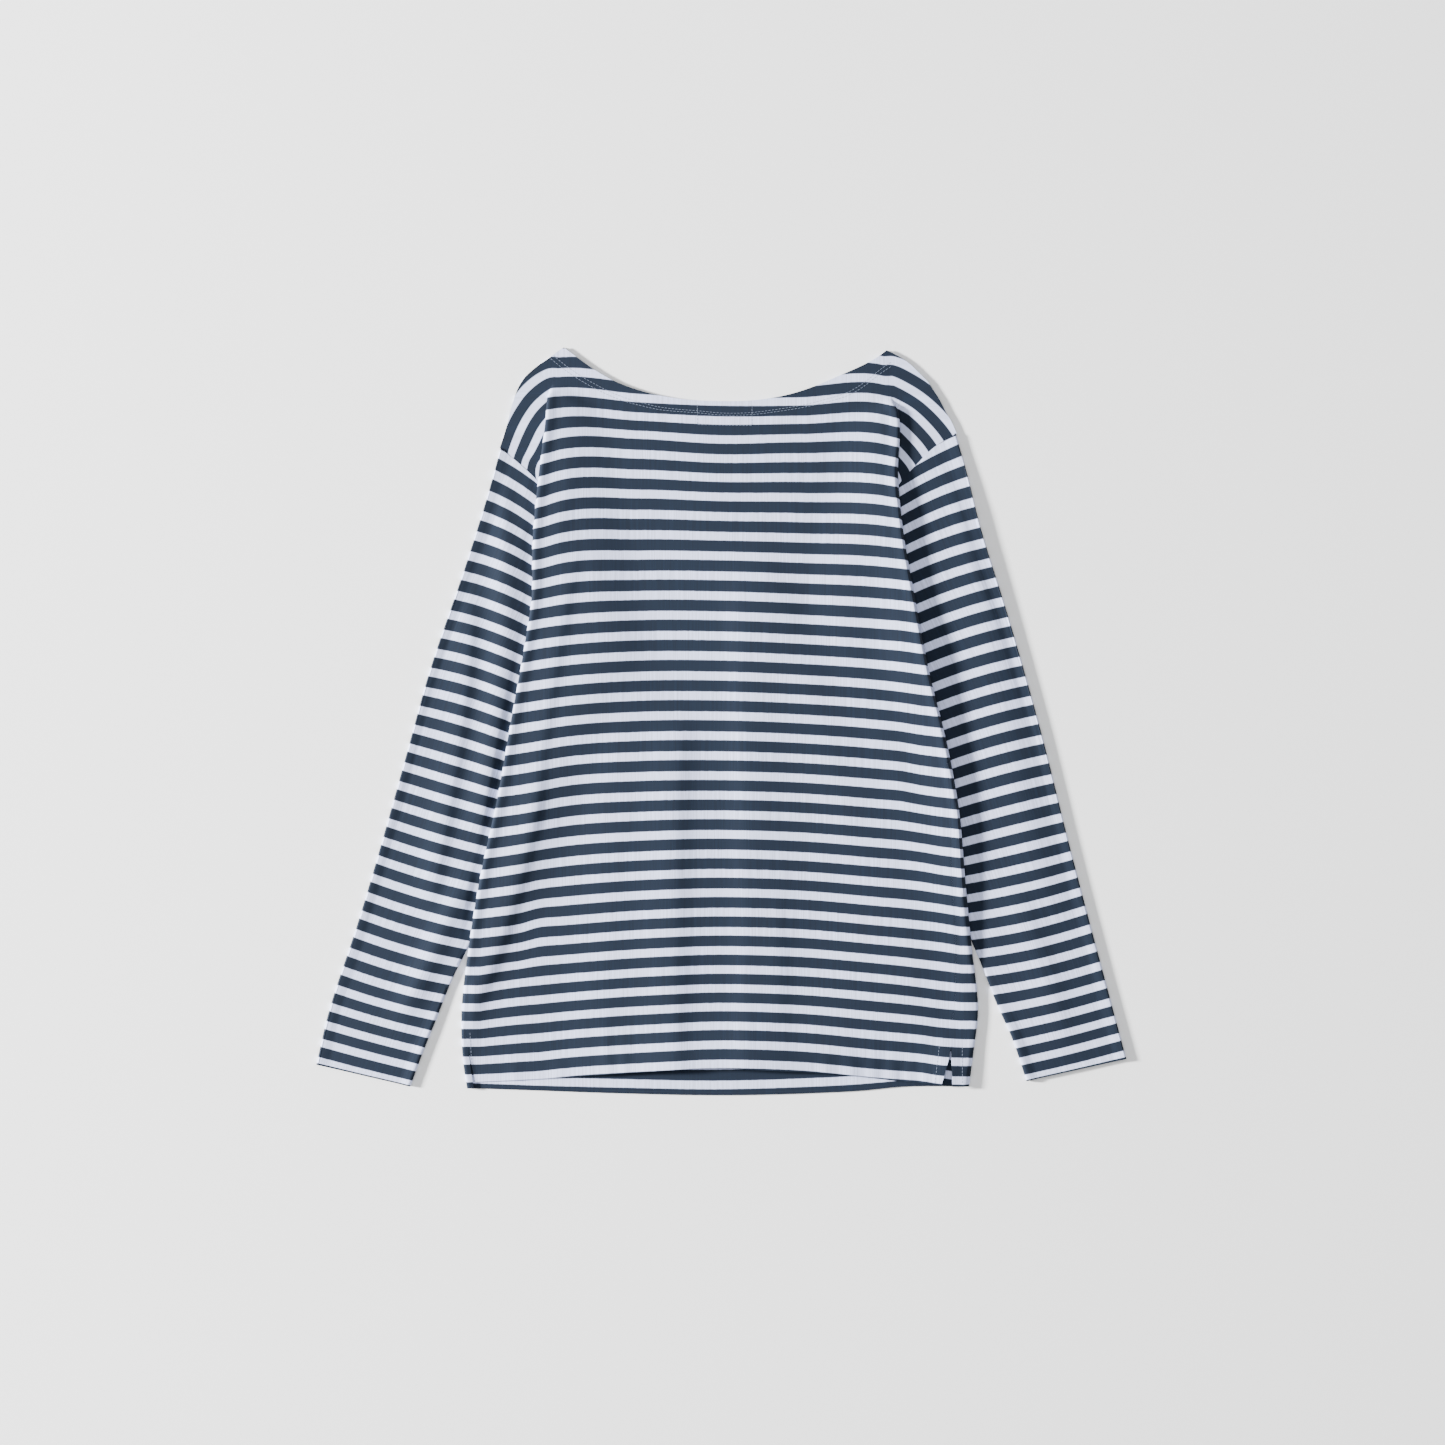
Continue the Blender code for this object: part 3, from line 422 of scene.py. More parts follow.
# Studio: world, lamps as (name, place, size, power), floor and camera, in metres and watts
WORLD_LIGHT = {"Color": (0.95, 0.97, 1.0, 1.0), "Strength": 0.54}
LAMPS = (
    ("side light", (-6.4, 0.7, 2.3), 0.85, 2750.0),
    ("top light", (-0.4, 0.3, 3.4), 2.4, 56.0),
)
FLOOR_SIZE = 6.0
FLOOR_BELOW = 0.0004
FLOOR_SURFACE = {
    "Base Color": (0.95, 0.95, 0.945, 1.0),
    "Roughness": 0.95,
    "Specular IOR Level": 0.1,
}
FRAME_WIDTH = 1.3294
FRAME_CENTRE = (0.0006, -0.0014)
LENS = 85.0
SENSOR = 36.0
CAMERA_REACH = 50.0


def ease(share):
    """Smooth step from 0 to 1."""
    share = np.clip(share, 0.0, 1.0)
    return share * share * (3.0 - 2.0 * share)


def read(rows, at, column=1):
    """Smooth value at a level or place from a table sorted by its first column, either way."""
    table = np.array(sorted(rows), float)
    places = table[:, 0]
    values = table[:, column]
    slopes = np.gradient(values, places)
    at = np.clip(at, places[0], places[-1])
    left = np.clip(np.searchsorted(places, at) - 1, 0, len(places) - 2)
    span = places[left + 1] - places[left]
    t = (at - places[left]) / span
    start = (2 * t**3 - 3 * t**2 + 1) * values[left] + (t**3 - 2 * t**2 + t) * span * slopes[left]
    end = (3 * t**2 - 2 * t**3) * values[left + 1] + (t**3 - t**2) * span * slopes[left + 1]
    return start + end


def boundary(side, level):
    """The body's own edge above the underarm: the shoulder line, then the armhole."""
    shoulder_point = SHOULDER[side][-1][0]
    return read(SHOULDER[side] if level > shoulder_point else ARMHOLE[side], level)


def fold_growth(side, level):
    """0 where the armhole fold has not begun, 1 where the cloth doubles back on itself."""
    share = (RIDGE_TOP[side] - level) / (RIDGE_TOP[side] - FOLD_TOP[side])
    return float(np.clip(share, 0.0, 1.0)) ** FOLD_GROWTH_POWER


def inner_fold(side, level):
    """Out of the fold at the bottom of the pleat, running from the fold's top to the underarm."""
    start = read(FOLD_EDGE[side], FOLD_TOP[side]) - WALL / 2 - SOFT_EDGE - TIGHT_FOLD
    down = np.clip((FOLD_TOP[side] - level) / (FOLD_TOP[side] - UNDERARM), 0.0, 1.0)
    share = FOLD_CURVE * ease(down) + (1.0 - FOLD_CURVE) * down
    return start + (ARMHOLE[side][-1][1] - TIGHT_FOLD - start) * share


def body_lift(side, out, level, lead=0.0, ramp=RAMP):
    """Height the body gains over the sleeve or over its own pleat, with a ramp inboard."""
    reach = inner_fold(side, level) if level > UNDERARM else read(SLEEVE_INNER[side], level)
    full_from = reach - RAMP_CLEAR - lead
    return OVER_SLEEVE * fold_growth(side, level) * ease((out - full_from + ramp) / ramp)


def measured(points):
    """Length along a list of points."""
    steps = np.hypot(*np.diff(np.array(points), axis=0).T)
    return np.concatenate([[0.0], np.cumsum(steps)])


def top_side(side, level, start_out, start_height):
    """Points from the folded edge inwards to the centre line, on the top side of the body."""
    near = start_out - np.arange(0.0, FINE_REACH, 1.0)
    outs = np.concatenate([near, np.linspace(start_out - FINE_REACH, 0.0, SECTION_POINTS)])
    base = ON_FRONT + body_lift(side, outs, level, TOP_RAMP_LEAD, TOP_RAMP)
    excess = start_height - base[0]
    return list(zip(outs, base + excess * (1.0 - ease((start_out - outs) / EDGE_RELAX))))


def pleat_path(side, level):
    """Section above the underarm, from the body's edge to the centre line, with its marks."""
    grown = fold_growth(side, level)
    angle = math.pi * grown
    looser = 1.0 + FOLD_LOOSENESS * (1.0 - grown) ** 2
    lower, upper = TIGHT_FOLD * looser, SOFT_EDGE * looser
    edge = read(FOLD_EDGE[side], level) - WALL / 2
    turn = edge - upper + 0.5 * (lower + upper) * math.sin(angle)
    doubled = 0.0
    if grown >= 1.0:
        turn = min(edge - upper, inner_fold(side, level) + lower)
        doubled = edge - upper - turn
    begin = max(boundary(side, level), turn + LEAST_SHOULDER)
    points = [(out, ON_FRONT) for out in np.linspace(begin, turn, LAYER_POINTS)]
    marks = [len(points) - 1]
    for phi in np.linspace(0.0, angle, LOWER_TURN_POINTS)[1:]:
        points.append((turn - lower * math.sin(phi), ON_FRONT + lower * (1 - math.cos(phi))))
    marks.append(len(points) - 1)
    out, height = points[-1]
    for share in np.linspace(0.0, 1.0, LAYER_POINTS)[1:]:
        points.append((out - share * doubled * math.cos(angle), height + TINY * share))
    marks.append(len(points) - 1)
    out, height = points[-1]
    for phi in np.linspace(angle, 0.0, TURN_POINTS)[1:]:
        sideways = upper * (math.sin(phi) - math.sin(angle))
        points.append((out + sideways, height + upper * (math.cos(phi) - math.cos(angle))))
    marks.append(len(points) - 1)
    points += top_side(side, level, *points[-1])[1:]
    along = measured(points)
    begin_along = along[0]
    if grown == 0.0:
        begin_along = np.interp(-boundary(side, level), [-p[0] for p in points], along)
    return np.array(points), along, [along[mark] for mark in marks], begin_along


def tube_path(side, level):
    """Section below the underarm: along the underside, round the folded edge, along the top."""
    edge = read(FOLD_EDGE[side], level) - WALL / 2
    turn = edge - SOFT_EDGE
    outs = np.linspace(0.0, turn, UNDERSIDE_POINTS)
    points = list(zip(outs, ON_TABLE + body_lift(side, outs, level)))
    start_height = points[-1][1]
    for phi in np.linspace(0.0, math.pi, TURN_POINTS)[1:]:
        rise = SOFT_EDGE * (1 - math.cos(phi))
        points.append((turn + SOFT_EDGE * math.sin(phi), start_height + rise))
    low = len(outs) - 1
    high = len(points) - 1
    points += top_side(side, level, *points[-1])[1:]
    along = measured(points)
    return np.array(points), along, along[low], along[high]


def seam_along(side, level, low, high, column):
    """Length along the tube's section at which a panel's edge lies: 1 the back's, 2 the front's."""
    inside = read(SIDE_SEAM[side], level, column)
    gap = SEAM_GAP + ROLLED_SEAM_GAP * math.exp(-((inside / ROLLED_SEAM_REACH) ** 2))
    half_turn = (high - low) / 2
    middle = (low + high) / 2 + (gap / 2 if column == 1 else -gap / 2)
    if abs(inside) < SOFT_EDGE:
        return middle - inside * half_turn / SOFT_EDGE
    return middle - math.copysign(abs(inside) - SOFT_EDGE + half_turn, inside)


def kept_apart(stations, start):
    """Stations pushed along so that none lies before the piece's edge or on its neighbour."""
    steps = LEAST_STEP * np.arange(len(stations))
    return np.maximum.accumulate(np.maximum(stations, start) - steps) + steps


def spread(start, end, count):
    """Even places from a start, which is left out, to an end."""
    return list(np.linspace(start, end, count + 1)[1:])


def top_stations(points, along, high):
    """Lengths along the section of the columns on the top side, closer near the folded edge."""
    edge = points[np.searchsorted(along, high)][0]
    outs = [edge - step for step in EDGE_STEPS]
    outs += spread(outs[-1], 0.0, TOP_COLUMNS)
    top = along >= high - TINY
    return list(np.interp([-out for out in outs], -points[top, 0], along[top]))


def back_half(side, level):
    """Columns of the back on one side, from its edge inwards: out, height, share of the
    shoulder's own stripes, share on the top side, and where the stripes are read."""
    shoulder_until = (0.0, 1.0)
    if level > UNDERARM:
        points, along, marks, start = pleat_path(side, level)
        stations = [start]
        for first, last, count in zip([start] + marks[:3], marks, HIDDEN_COLUMNS):
            stations += spread(first, last, count)
        high = marks[3]
        shoulder_until = (marks[0] - STRIPE_BLEND, marks[2] - marks[0] + 2.0 * STRIPE_BLEND)
    else:
        points, along, low, high = tube_path(side, level)
        start = seam_along(side, level, low, high, 1)
        first = max(low, start + LEAST_UNDERSIDE)
        stations = [start] + spread(start, first, sum(HIDDEN_COLUMNS[:3]))
        stations += spread(low, high, HIDDEN_COLUMNS[3])
    stations = np.array(stations + top_stations(points, along, high))
    turned = ease((UNDERARM - level) / UNDERARM_TURN)
    if 0.0 <= UNDERARM - level and turned < 1.0:
        out, height = underarm_turn(side, points, along, stations, turned)
    else:
        stations = kept_apart(stations, start)
        out, height = [np.interp(stations, along, points[:, axis]) for axis in (0, 1)]
    shoulder = 1.0 - ease((stations - shoulder_until[0]) / shoulder_until[1])
    if level <= UNDERARM:
        shoulder = np.zeros(len(stations))
    shoulder = shoulder * ease((level - SHOULDER_STRIPES_END) / SHOULDER_STRIPES_FADE)
    run = LIFT_RUN + OPEN_LIFT_RUN * (1.0 - fold_growth(side, level))
    top = ease((stations - high + run) / (2.0 * run))
    edge = np.interp(high, along, points[:, 0])
    wrapped = edge + np.minimum(high - stations, WRAPPED_STRIPE_REACH)
    stripe_out = np.where(stations > high, out, wrapped)
    return np.column_stack([out, height, shoulder, top, stripe_out])


def underarm_turn(side, points, along, stations, turned):
    """The back's section just below the underarm, where its edge climbs the inner fold."""
    corner = inner_fold(side, UNDERARM) + TIGHT_FOLD
    fold_columns = 1 + HIDDEN_COLUMNS[0] + HIDDEN_COLUMNS[1]
    phis = np.linspace(math.pi * turned, math.pi, fold_columns)
    fold = np.column_stack([
        corner - TIGHT_FOLD * np.sin(phis),
        ON_FRONT + TIGHT_FOLD * (1.0 - np.cos(phis)),
    ])
    later = stations[fold_columns + HIDDEN_COLUMNS[2]:]
    rest = [np.interp(later, along, points[:, axis]) for axis in (0, 1)]
    outs = spread(corner, rest[0][0] - 2.0 * LEAST_STEP, HIDDEN_COLUMNS[2])
    flat = [(out, ON_TABLE + OVER_SLEEVE) for out in outs]
    return np.vstack([fold, flat, np.column_stack(rest)]).T


def front_half(side, level):
    """Columns of the front on one side, from its edge inwards: out, height, share that
    carries on the back's stripes, share on the top side, and where the stripes are read."""
    wrapped, under, inner = FRONT_COLUMNS
    if level >= UNDERARM:
        start = boundary(side, level)
        outs = [start - LEAST_STEP * step for step in range(wrapped + under + 1)]
        outs += spread(outs[-1], 0.0, inner)
        count = len(outs)
        none = np.zeros(count)
        return np.column_stack([outs, np.full(count, ON_TABLE), none, none, outs])
    points, along, low, high = tube_path(side, level)
    start = seam_along(side, level, low, high, 2)
    turned = ease((UNDERARM - level) / UNDERARM_TURN)
    start -= UNDERARM_SPREAD * math.sin(math.pi * turned)
    stations = [start] + spread(start, high, wrapped) + spread(high, low, under)
    below = along <= low
    outs = spread(np.interp(min(start, low), along, points[:, 0]), 0.0, inner)
    stations += list(np.interp(outs, points[below, 0], along[below]))
    stations = -kept_apart(-np.array(stations), -start)
    out, height = [np.interp(stations, along, points[:, axis]) for axis in (0, 1)]
    height = height - (1.0 - turned) * body_lift(side, out, level)
    carried = ease((stations - low) / CARRY_RUN)
    top = ease((stations - high + LIFT_RUN) / (2.0 * LIFT_RUN))
    return np.column_stack([out, height, carried, top, out])


def body_rows(neck_depth, sag_power, hem, row_step):
    """One function for each row that gives the level at x, with the row's levels at its ends."""
    table = [*TOP_ROWS, *((level, level, 0.0) for level in LOW_LEVELS)]
    fine = []
    for first, last in zip(table, table[1:]):
        count = max(1, round(max(first[0] - last[0], first[1] - last[1]) / row_step))
        for share in np.arange(count) / count:
            fine.append([a + (b - a) * share for a, b in zip(first, last)])
    fine.append(list(table[-1]))

    def top_row(left, right, sag):
        def level_at(x):
            between = (x > NECK_SAG[0][0]) & (x < NECK_SAG[-1][0])
            drop = np.where(between, read(NECK_SAG, x), 0.0)
            slant = left + (right - left) * np.clip(0.5 + x / (2.0 * SLANT_HALF_WIDTH), 0.0, 1.0)
            return slant - max(sag, 0.0)**sag_power * neck_depth * drop

        return level_at

    def hem_row(share):
        return lambda x: SLIT_TOP + share * (read(hem, x) - SLIT_TOP)

    rows = [(top_row(*row), row[0], row[1]) for row in fine]
    for step in range(1, HEM_ROW_COUNT + 1):
        place = hem_row(step / HEM_ROW_COUNT)
        rows.append((place, float(place(hem[0][0])), float(place(hem[-1][0]))))
    return rows


def body_grid(half, rows):
    """Grid of a body panel, a row for each section from the hem to the neck: x, level,
    height, then the columns of its half."""
    grid = []
    for level_at, left, right in rows:
        left_half = half("left", left)
        right_half = half("right", right)[::-1][1:]
        both = np.vstack([left_half, right_half])
        x = np.concatenate([-left_half[:, 0], right_half[:, 0]])
        stripe_x = np.concatenate([-left_half[:, 4], right_half[:, 4]])
        level = level_at(x)
        grid.append(np.column_stack([x, level, both[:, 1], both[:, 2], both[:, 3], stripe_x]))
    return np.array(grid[::-1])


def crease_height(creases, x, y):
    """Height of curved soft ridges, each with its own width to the left and to the right."""
    total = np.zeros_like(x)
    for _, x0, y0, xm, ym, x1, y1, left_width, right_width, height in creases:
        t = np.linspace(0.0, 1.0, CREASE_POINTS)
        bend_x, bend_y = 2 * xm - (x0 + x1) / 2, 2 * ym - (y0 + y1) / 2
        line_x = (1 - t) ** 2 * x0 + 2 * t * (1 - t) * bend_x + t**2 * x1
        line_y = (1 - t) ** 2 * y0 + 2 * t * (1 - t) * bend_y + t**2 * y1
        length = measured(np.column_stack([line_x, line_y]))
        axis = np.interp(-y, -line_y, line_x)
        along = np.interp(-y, -line_y, length)
        along = along - np.maximum(y - y0, 0.0) + np.maximum(y1 - y, 0.0)
        lean = math.cos(math.atan2(abs(x1 - x0), abs(y1 - y0)))
        across = (x - axis) * lean
        width = np.where(across < 0.0, left_width, right_width)
        taper = ease((along + CREASE_TAPER) / (2 * CREASE_TAPER))
        taper = taper * ease((length[-1] + CREASE_TAPER - along) / (2 * CREASE_TAPER))
        total += height * taper * np.exp(-((across / width) ** 2))
    return total


def edge_roll(x, y):
    """Height of the puffed roll just inside the right folded edge, which shades the sleeve."""
    inset, inwards, outwards, height = [read(RIGHT_EDGE_ROLL, y, column) for column in (1, 2, 3, 4)]
    across = x - (read(FOLD_EDGE["right"], y) - inset)
    width = np.where(across < 0.0, inwards, outwards)
    return np.where(x > 0.0, height * np.exp(-((across / width) ** 2)), 0.0)


def unevenness(x, y):
    """Slight waviness of hand-smoothed cloth."""
    total = np.zeros_like(x)
    for height, across, wander, wander_length, along, slant, start in WAVES:
        wave = np.sin(x / across + wander * np.sin(y / wander_length))
        total += height * wave * np.sin(y / along + x * slant + start)
    return total


def hem_opening(x, level):
    """Soft lift of the back's hem off the front, which opens the body there."""
    across = 1.0 - ease(np.abs(x) / HEM_LIFT_HALF_WIDTH)
    return HEM_LIFT * across * (1.0 - ease((level - read(BACK_HEM, x)) / HEM_LIFT_REACH))


def body_relief(x, y):
    """Height that creases, rolls and puckers add to the body's upper layer."""
    relief = crease_height(BACK_CREASES, x, y) + hem_opening(x, y) + unevenness(x, y)
    relief += RELIEF_BASE + edge_roll(x, y)
    above_hem = y - read(BACK_HEM, x)
    for place, width, height, reach in HEM_PUCKERS:
        relief += height * np.exp(-(((x - place) / width) ** 2)) * (1.0 - ease(above_hem / reach))
    middle_x, middle_y, wide, long, height = SLIT_BULGE
    away = ((x - middle_x) / wide) ** 2 + ((y - middle_y) / long) ** 2
    relief += height * np.exp(-away)
    return np.maximum(relief, 0.0)


def between_levels(levels, numbers, y):
    """Stripe number at y where each stripe's level is known, carried on beyond both ends."""
    number = np.zeros_like(y)
    last = len(numbers) - 2
    for index in range(len(numbers) - 1):
        upper, lower = levels[index], levels[index + 1]
        share = (upper - y) / (upper - lower)
        inside = (share >= 0.0) if index == last else (share >= 0.0) & (share < 1.0)
        if index == 0:
            inside = share < 1.0
        value = numbers[index] + share * (numbers[index + 1] - numbers[index])
        number = np.where(inside, value, number)
    return number


def back_stripe(x, y):
    """Stripe number of the back at plan points."""
    numbers = [row[0] for row in STRIPE_DROP]
    x = np.clip(x, STRIPE_PLACES[0], STRIPE_PLACES[-1])
    levels = []
    for row in STRIPE_DROP:
        drops = list(zip(STRIPE_PLACES, row[1:]))
        levels.append(read(STRIPE_CENTRE, row[0]) - read(drops, x))
    return between_levels(levels, numbers, y)


def shoulder_stripe(side, out, level):
    """Stripe number beside the armhole fold, where the stripes run round the shoulder."""
    middle_out, middle_level = SHOULDER_PIVOT[side]
    turn = np.degrees(np.arctan2(out - middle_out, level - middle_level))
    distance = np.hypot(out - middle_out, level - middle_level)
    rows = SHOULDER_STRIPES[side]
    return (read(rows, turn, 1) - distance) / read(rows, turn, 2)


def front_stripe(x, y):
    """Stripe number of the front at plan points, counted from its last dark stripe."""
    return FRONT_LAST_NUMBER - (y - read(FRONT_LAST_STRIPE, x)) / FRONT_STRIPE_PITCH


def sleeve_stripe(side, out, level):
    """Stripe number of a sleeve at plan points: each stripe leaves the outer edge on its
    slope and bends down further in."""
    rows = SLEEVE_STRIPES[side]
    numbers = np.arange(rows[0][0], rows[-1][0] + 0.5, 1.0)
    levels = []
    for number in numbers:
        start = read(rows, number, 1)
        inside = np.maximum(read(SLEEVE_OUTER[side], start) - out, -STRIPE_OVERRUN)
        drop = inside * (read(rows, number, 2) + inside * read(rows, number, 3))
        levels.append(start - drop)
    return between_levels(levels, numbers, level)


def back_grid():
    """Points of the back with its relief, and the stripes on them."""
    grid = body_grid(back_half, body_rows(1.0, 1.0, BACK_HEM, ROW_STEP))
    x, y, z, shoulder, top, stripe_x = np.moveaxis(grid, 2, 0)
    points = np.stack([x, y, z + top * body_relief(x, y)], axis=2)
    number = back_stripe(stripe_x, y)
    for side, sign in (("left", -1.0), ("right", 1.0)):
        own = shoulder_stripe(side, sign * x, y)
        number = np.where(sign * x > 0.0, number + shoulder * (own - number), number)
    return points, np.stack([stripe_x, number], axis=2)


def front_grid():
    """Points of the front with its relief where it shows, and the stripes on them."""
    rows = body_rows(FRONT_NECK_DEPTH, FRONT_SAG_POWER, FRONT_HEM, FRONT_ROW_STEP)
    grid = body_grid(front_half, rows)
    x, y, z, carried, top, stripe_x = np.moveaxis(grid, 2, 0)
    z = z + top * body_relief(x, y)
    number = front_stripe(stripe_x, y)
    number = number + carried * (back_stripe(stripe_x, y) - number)
    return np.stack([x, y, z], axis=2), np.stack([stripe_x, number], axis=2)


def line_at(rows, share):
    """Point (out, level) at a share of the way along a line."""
    points = np.array([(out, level) for level, out in rows])
    along = measured(points)
    return np.array([np.interp(share * along[-1], along, points[:, axis]) for axis in (0, 1)])


def smooth_line(rows):
    """A line read closely from its table, so that its edge curves."""
    levels = np.linspace(rows[0][0], rows[-1][0], LINE_POINTS)
    return [(level, float(read(rows, level))) for level in levels]


def armhole_points(side):
    """Points of the armhole that the body's edge follows too."""
    levels = np.linspace(ARMHOLE[side][0][0], UNDERARM, LINE_POINTS)
    return np.array([(boundary(side, level), level) for level in levels])


def sleeve_section(side, share, lines):
    """Section all round a flattened sleeve at a share of the way from armhole to cuff. It
    starts and ends at the outer edge, and a 1 marks the points of the top side."""
    outer, inner = line_at(lines[0], share), line_at(lines[1], share)
    width = float(np.hypot(*(inner - outer)))
    across_way = (inner - outer) / width
    shoulder, underarm = line_at(lines[0], 0.0), line_at(lines[1], 0.0)
    arm_width = float(np.hypot(*(underarm - shoulder)))
    arm_way = (underarm - shoulder) / arm_width
    from_shoulder = armhole_points(side) - shoulder
    shares = from_shoulder @ arm_way / arm_width
    square = np.array([-arm_way[1], arm_way[0]])
    bows = from_shoulder @ square
    bow_left = 1.0 - ease(share / BOW_SHARE)
    outer_turn, inner_turn = SOFT_EDGE, TIGHT_FOLD
    if share > 0.0:
        inner_turn += (SOFT_EDGE - TIGHT_FOLD) * ease((share - CUFF_FROM) / CUFF_SHARE)
    first = WALL / 2 + outer_turn
    last = width - WALL / 2 - inner_turn
    last -= UNDERARM_INSET * (1.0 - ease(share / UNDERARM_SHARE))
    away = ARMHOLE_GAP if share == 0.0 else 0.0

    def plan(distance):
        bow = np.interp(distance / width, shares, bows) * bow_left
        return outer + across_way * distance + square * (bow + away)

    ring = []
    relax = SOFT_EDGE * 2.0 - LAYER
    upper = first + (last - first) * np.linspace(0.0, 1.0, SLEEVE_COLUMNS)
    for distance in upper:
        place = plan(distance)
        height = ON_FRONT + relax * (1.0 - ease((distance - first) / EDGE_RELAX))
        height += (2.0 * inner_turn - LAYER) * (1.0 - ease((last - distance) / EDGE_RELAX))
        ring.append((*place, height, 1.0))
    for phi in np.linspace(0.0, math.pi, INNER_TURN_POINTS)[1:-1]:
        place = plan(last) + across_way * inner_turn * math.sin(phi)
        ring.append((*place, ON_TABLE + inner_turn * (1 + math.cos(phi)), 0.0))
    for distance in upper[::-2]:
        ring.append((*plan(distance), ON_TABLE, 0.0))
    for phi in np.linspace(0.0, math.pi, OUTER_TURN_POINTS)[1:-1]:
        place = plan(first) - across_way * outer_turn * math.sin(phi)
        ring.append((*place, ON_TABLE + outer_turn * (1 - math.cos(phi)), 0.0))
    ring.append(ring[0])
    return np.array(ring)


def sleeve_grid(side, creases):
    """Points of a sleeve with its creases, a row for each ring, and the stripes on them.
    The relief lifts a ring's last point and not its first, so the end lies over the start."""
    lines = smooth_line(SLEEVE_OUTER[side]), smooth_line(SLEEVE_INNER[side])
    shares = np.linspace(0.0, 1.0, SLEEVE_ROWS)
    grid = np.array([sleeve_section(side, share, lines) for share in shares])
    out, level, z, upper = np.moveaxis(grid, 2, 0)
    sign = -1.0 if side == "left" else 1.0
    lift = crease_height(creases, sign * out, level) + unevenness(sign * out, level) + RELIEF_BASE
    clear = ease((out - read(FOLD_EDGE[side], level) - CLEAR_OF_EDGE) / CLEAR_RUN)
    clear = np.where(level < BESIDE_BODY_UNTIL, 1.0, clear)
    edge_free = ease(np.arange(grid.shape[1]) / EDGE_COLUMNS)
    z = z + upper * clear * edge_free * np.maximum(lift, 0.0)
    number = sleeve_stripe(side, out, level)
    number[-1] = np.maximum(number[-1], CUFF_EDGE_STRIPE)
    points = np.stack([sign * out, level, z], axis=2)
    along = np.arange(1.0, grid.shape[1] + 1.0) * SLEEVE_COLUMN_WIDTH
    return points, np.stack([np.broadcast_to(along, out.shape), number], axis=2)


def new_group(name, inputs, outputs):
    """An empty shader node group with named sockets: (name, type)."""
    group = bpy.data.node_groups.new(name, "ShaderNodeTree")
    for way, sockets in (("INPUT", inputs), ("OUTPUT", outputs)):
        for label, kind in sockets:
            group.interface.new_socket(name=label, in_out=way, socket_type=kind)
    return group


def set_inputs(node, values):
    """Constant values of a node's named sockets."""
    for name, value in values.items():
        node.inputs[name].default_value = value


def maths(tree, operation, first, second=None, clamp=False):
    """The result of a maths node on one or two sockets or plain values."""
    node = tree.nodes.new("ShaderNodeMath")
    node.operation = operation
    node.use_clamp = clamp
    for index, value in enumerate((first, second)):
        if value is None:
            continue
        if isinstance(value, (int, float)):
            node.inputs[index].default_value = value
        else:
            tree.links.new(value, node.inputs[index])
    return node.outputs[0]


def mixed(tree, share, first, second):
    """A colour between two others, which are sockets or plain values."""
    node = tree.nodes.new("ShaderNodeMix")
    node.data_type = "RGBA"
    for name, value in (("Factor", share), ("A", first), ("B", second)):
        socket = node.inputs[name]
        if isinstance(value, (tuple, int, float)):
            socket.default_value = value
        else:
            tree.links.new(value, socket)
    return node.outputs["Result"]


def noise(group, across, number, per_mm, per_stripe, detail):
    """Noise over the cloth, with its own fineness across it and from stripe to stripe."""
    spot = group.nodes.new("ShaderNodeCombineXYZ")
    group.links.new(maths(group, "MULTIPLY", across, per_mm), spot.inputs["X"])
    group.links.new(maths(group, "MULTIPLY", number, per_stripe), spot.inputs["Y"])
    texture = group.nodes.new("ShaderNodeTexNoise")
    texture.inputs["Scale"].default_value = 1.0
    texture.inputs["Detail"].default_value = detail
    group.links.new(spot.outputs[0], texture.inputs["Vector"])
    return maths(group, "SUBTRACT", texture.outputs["Fac"], 0.5)


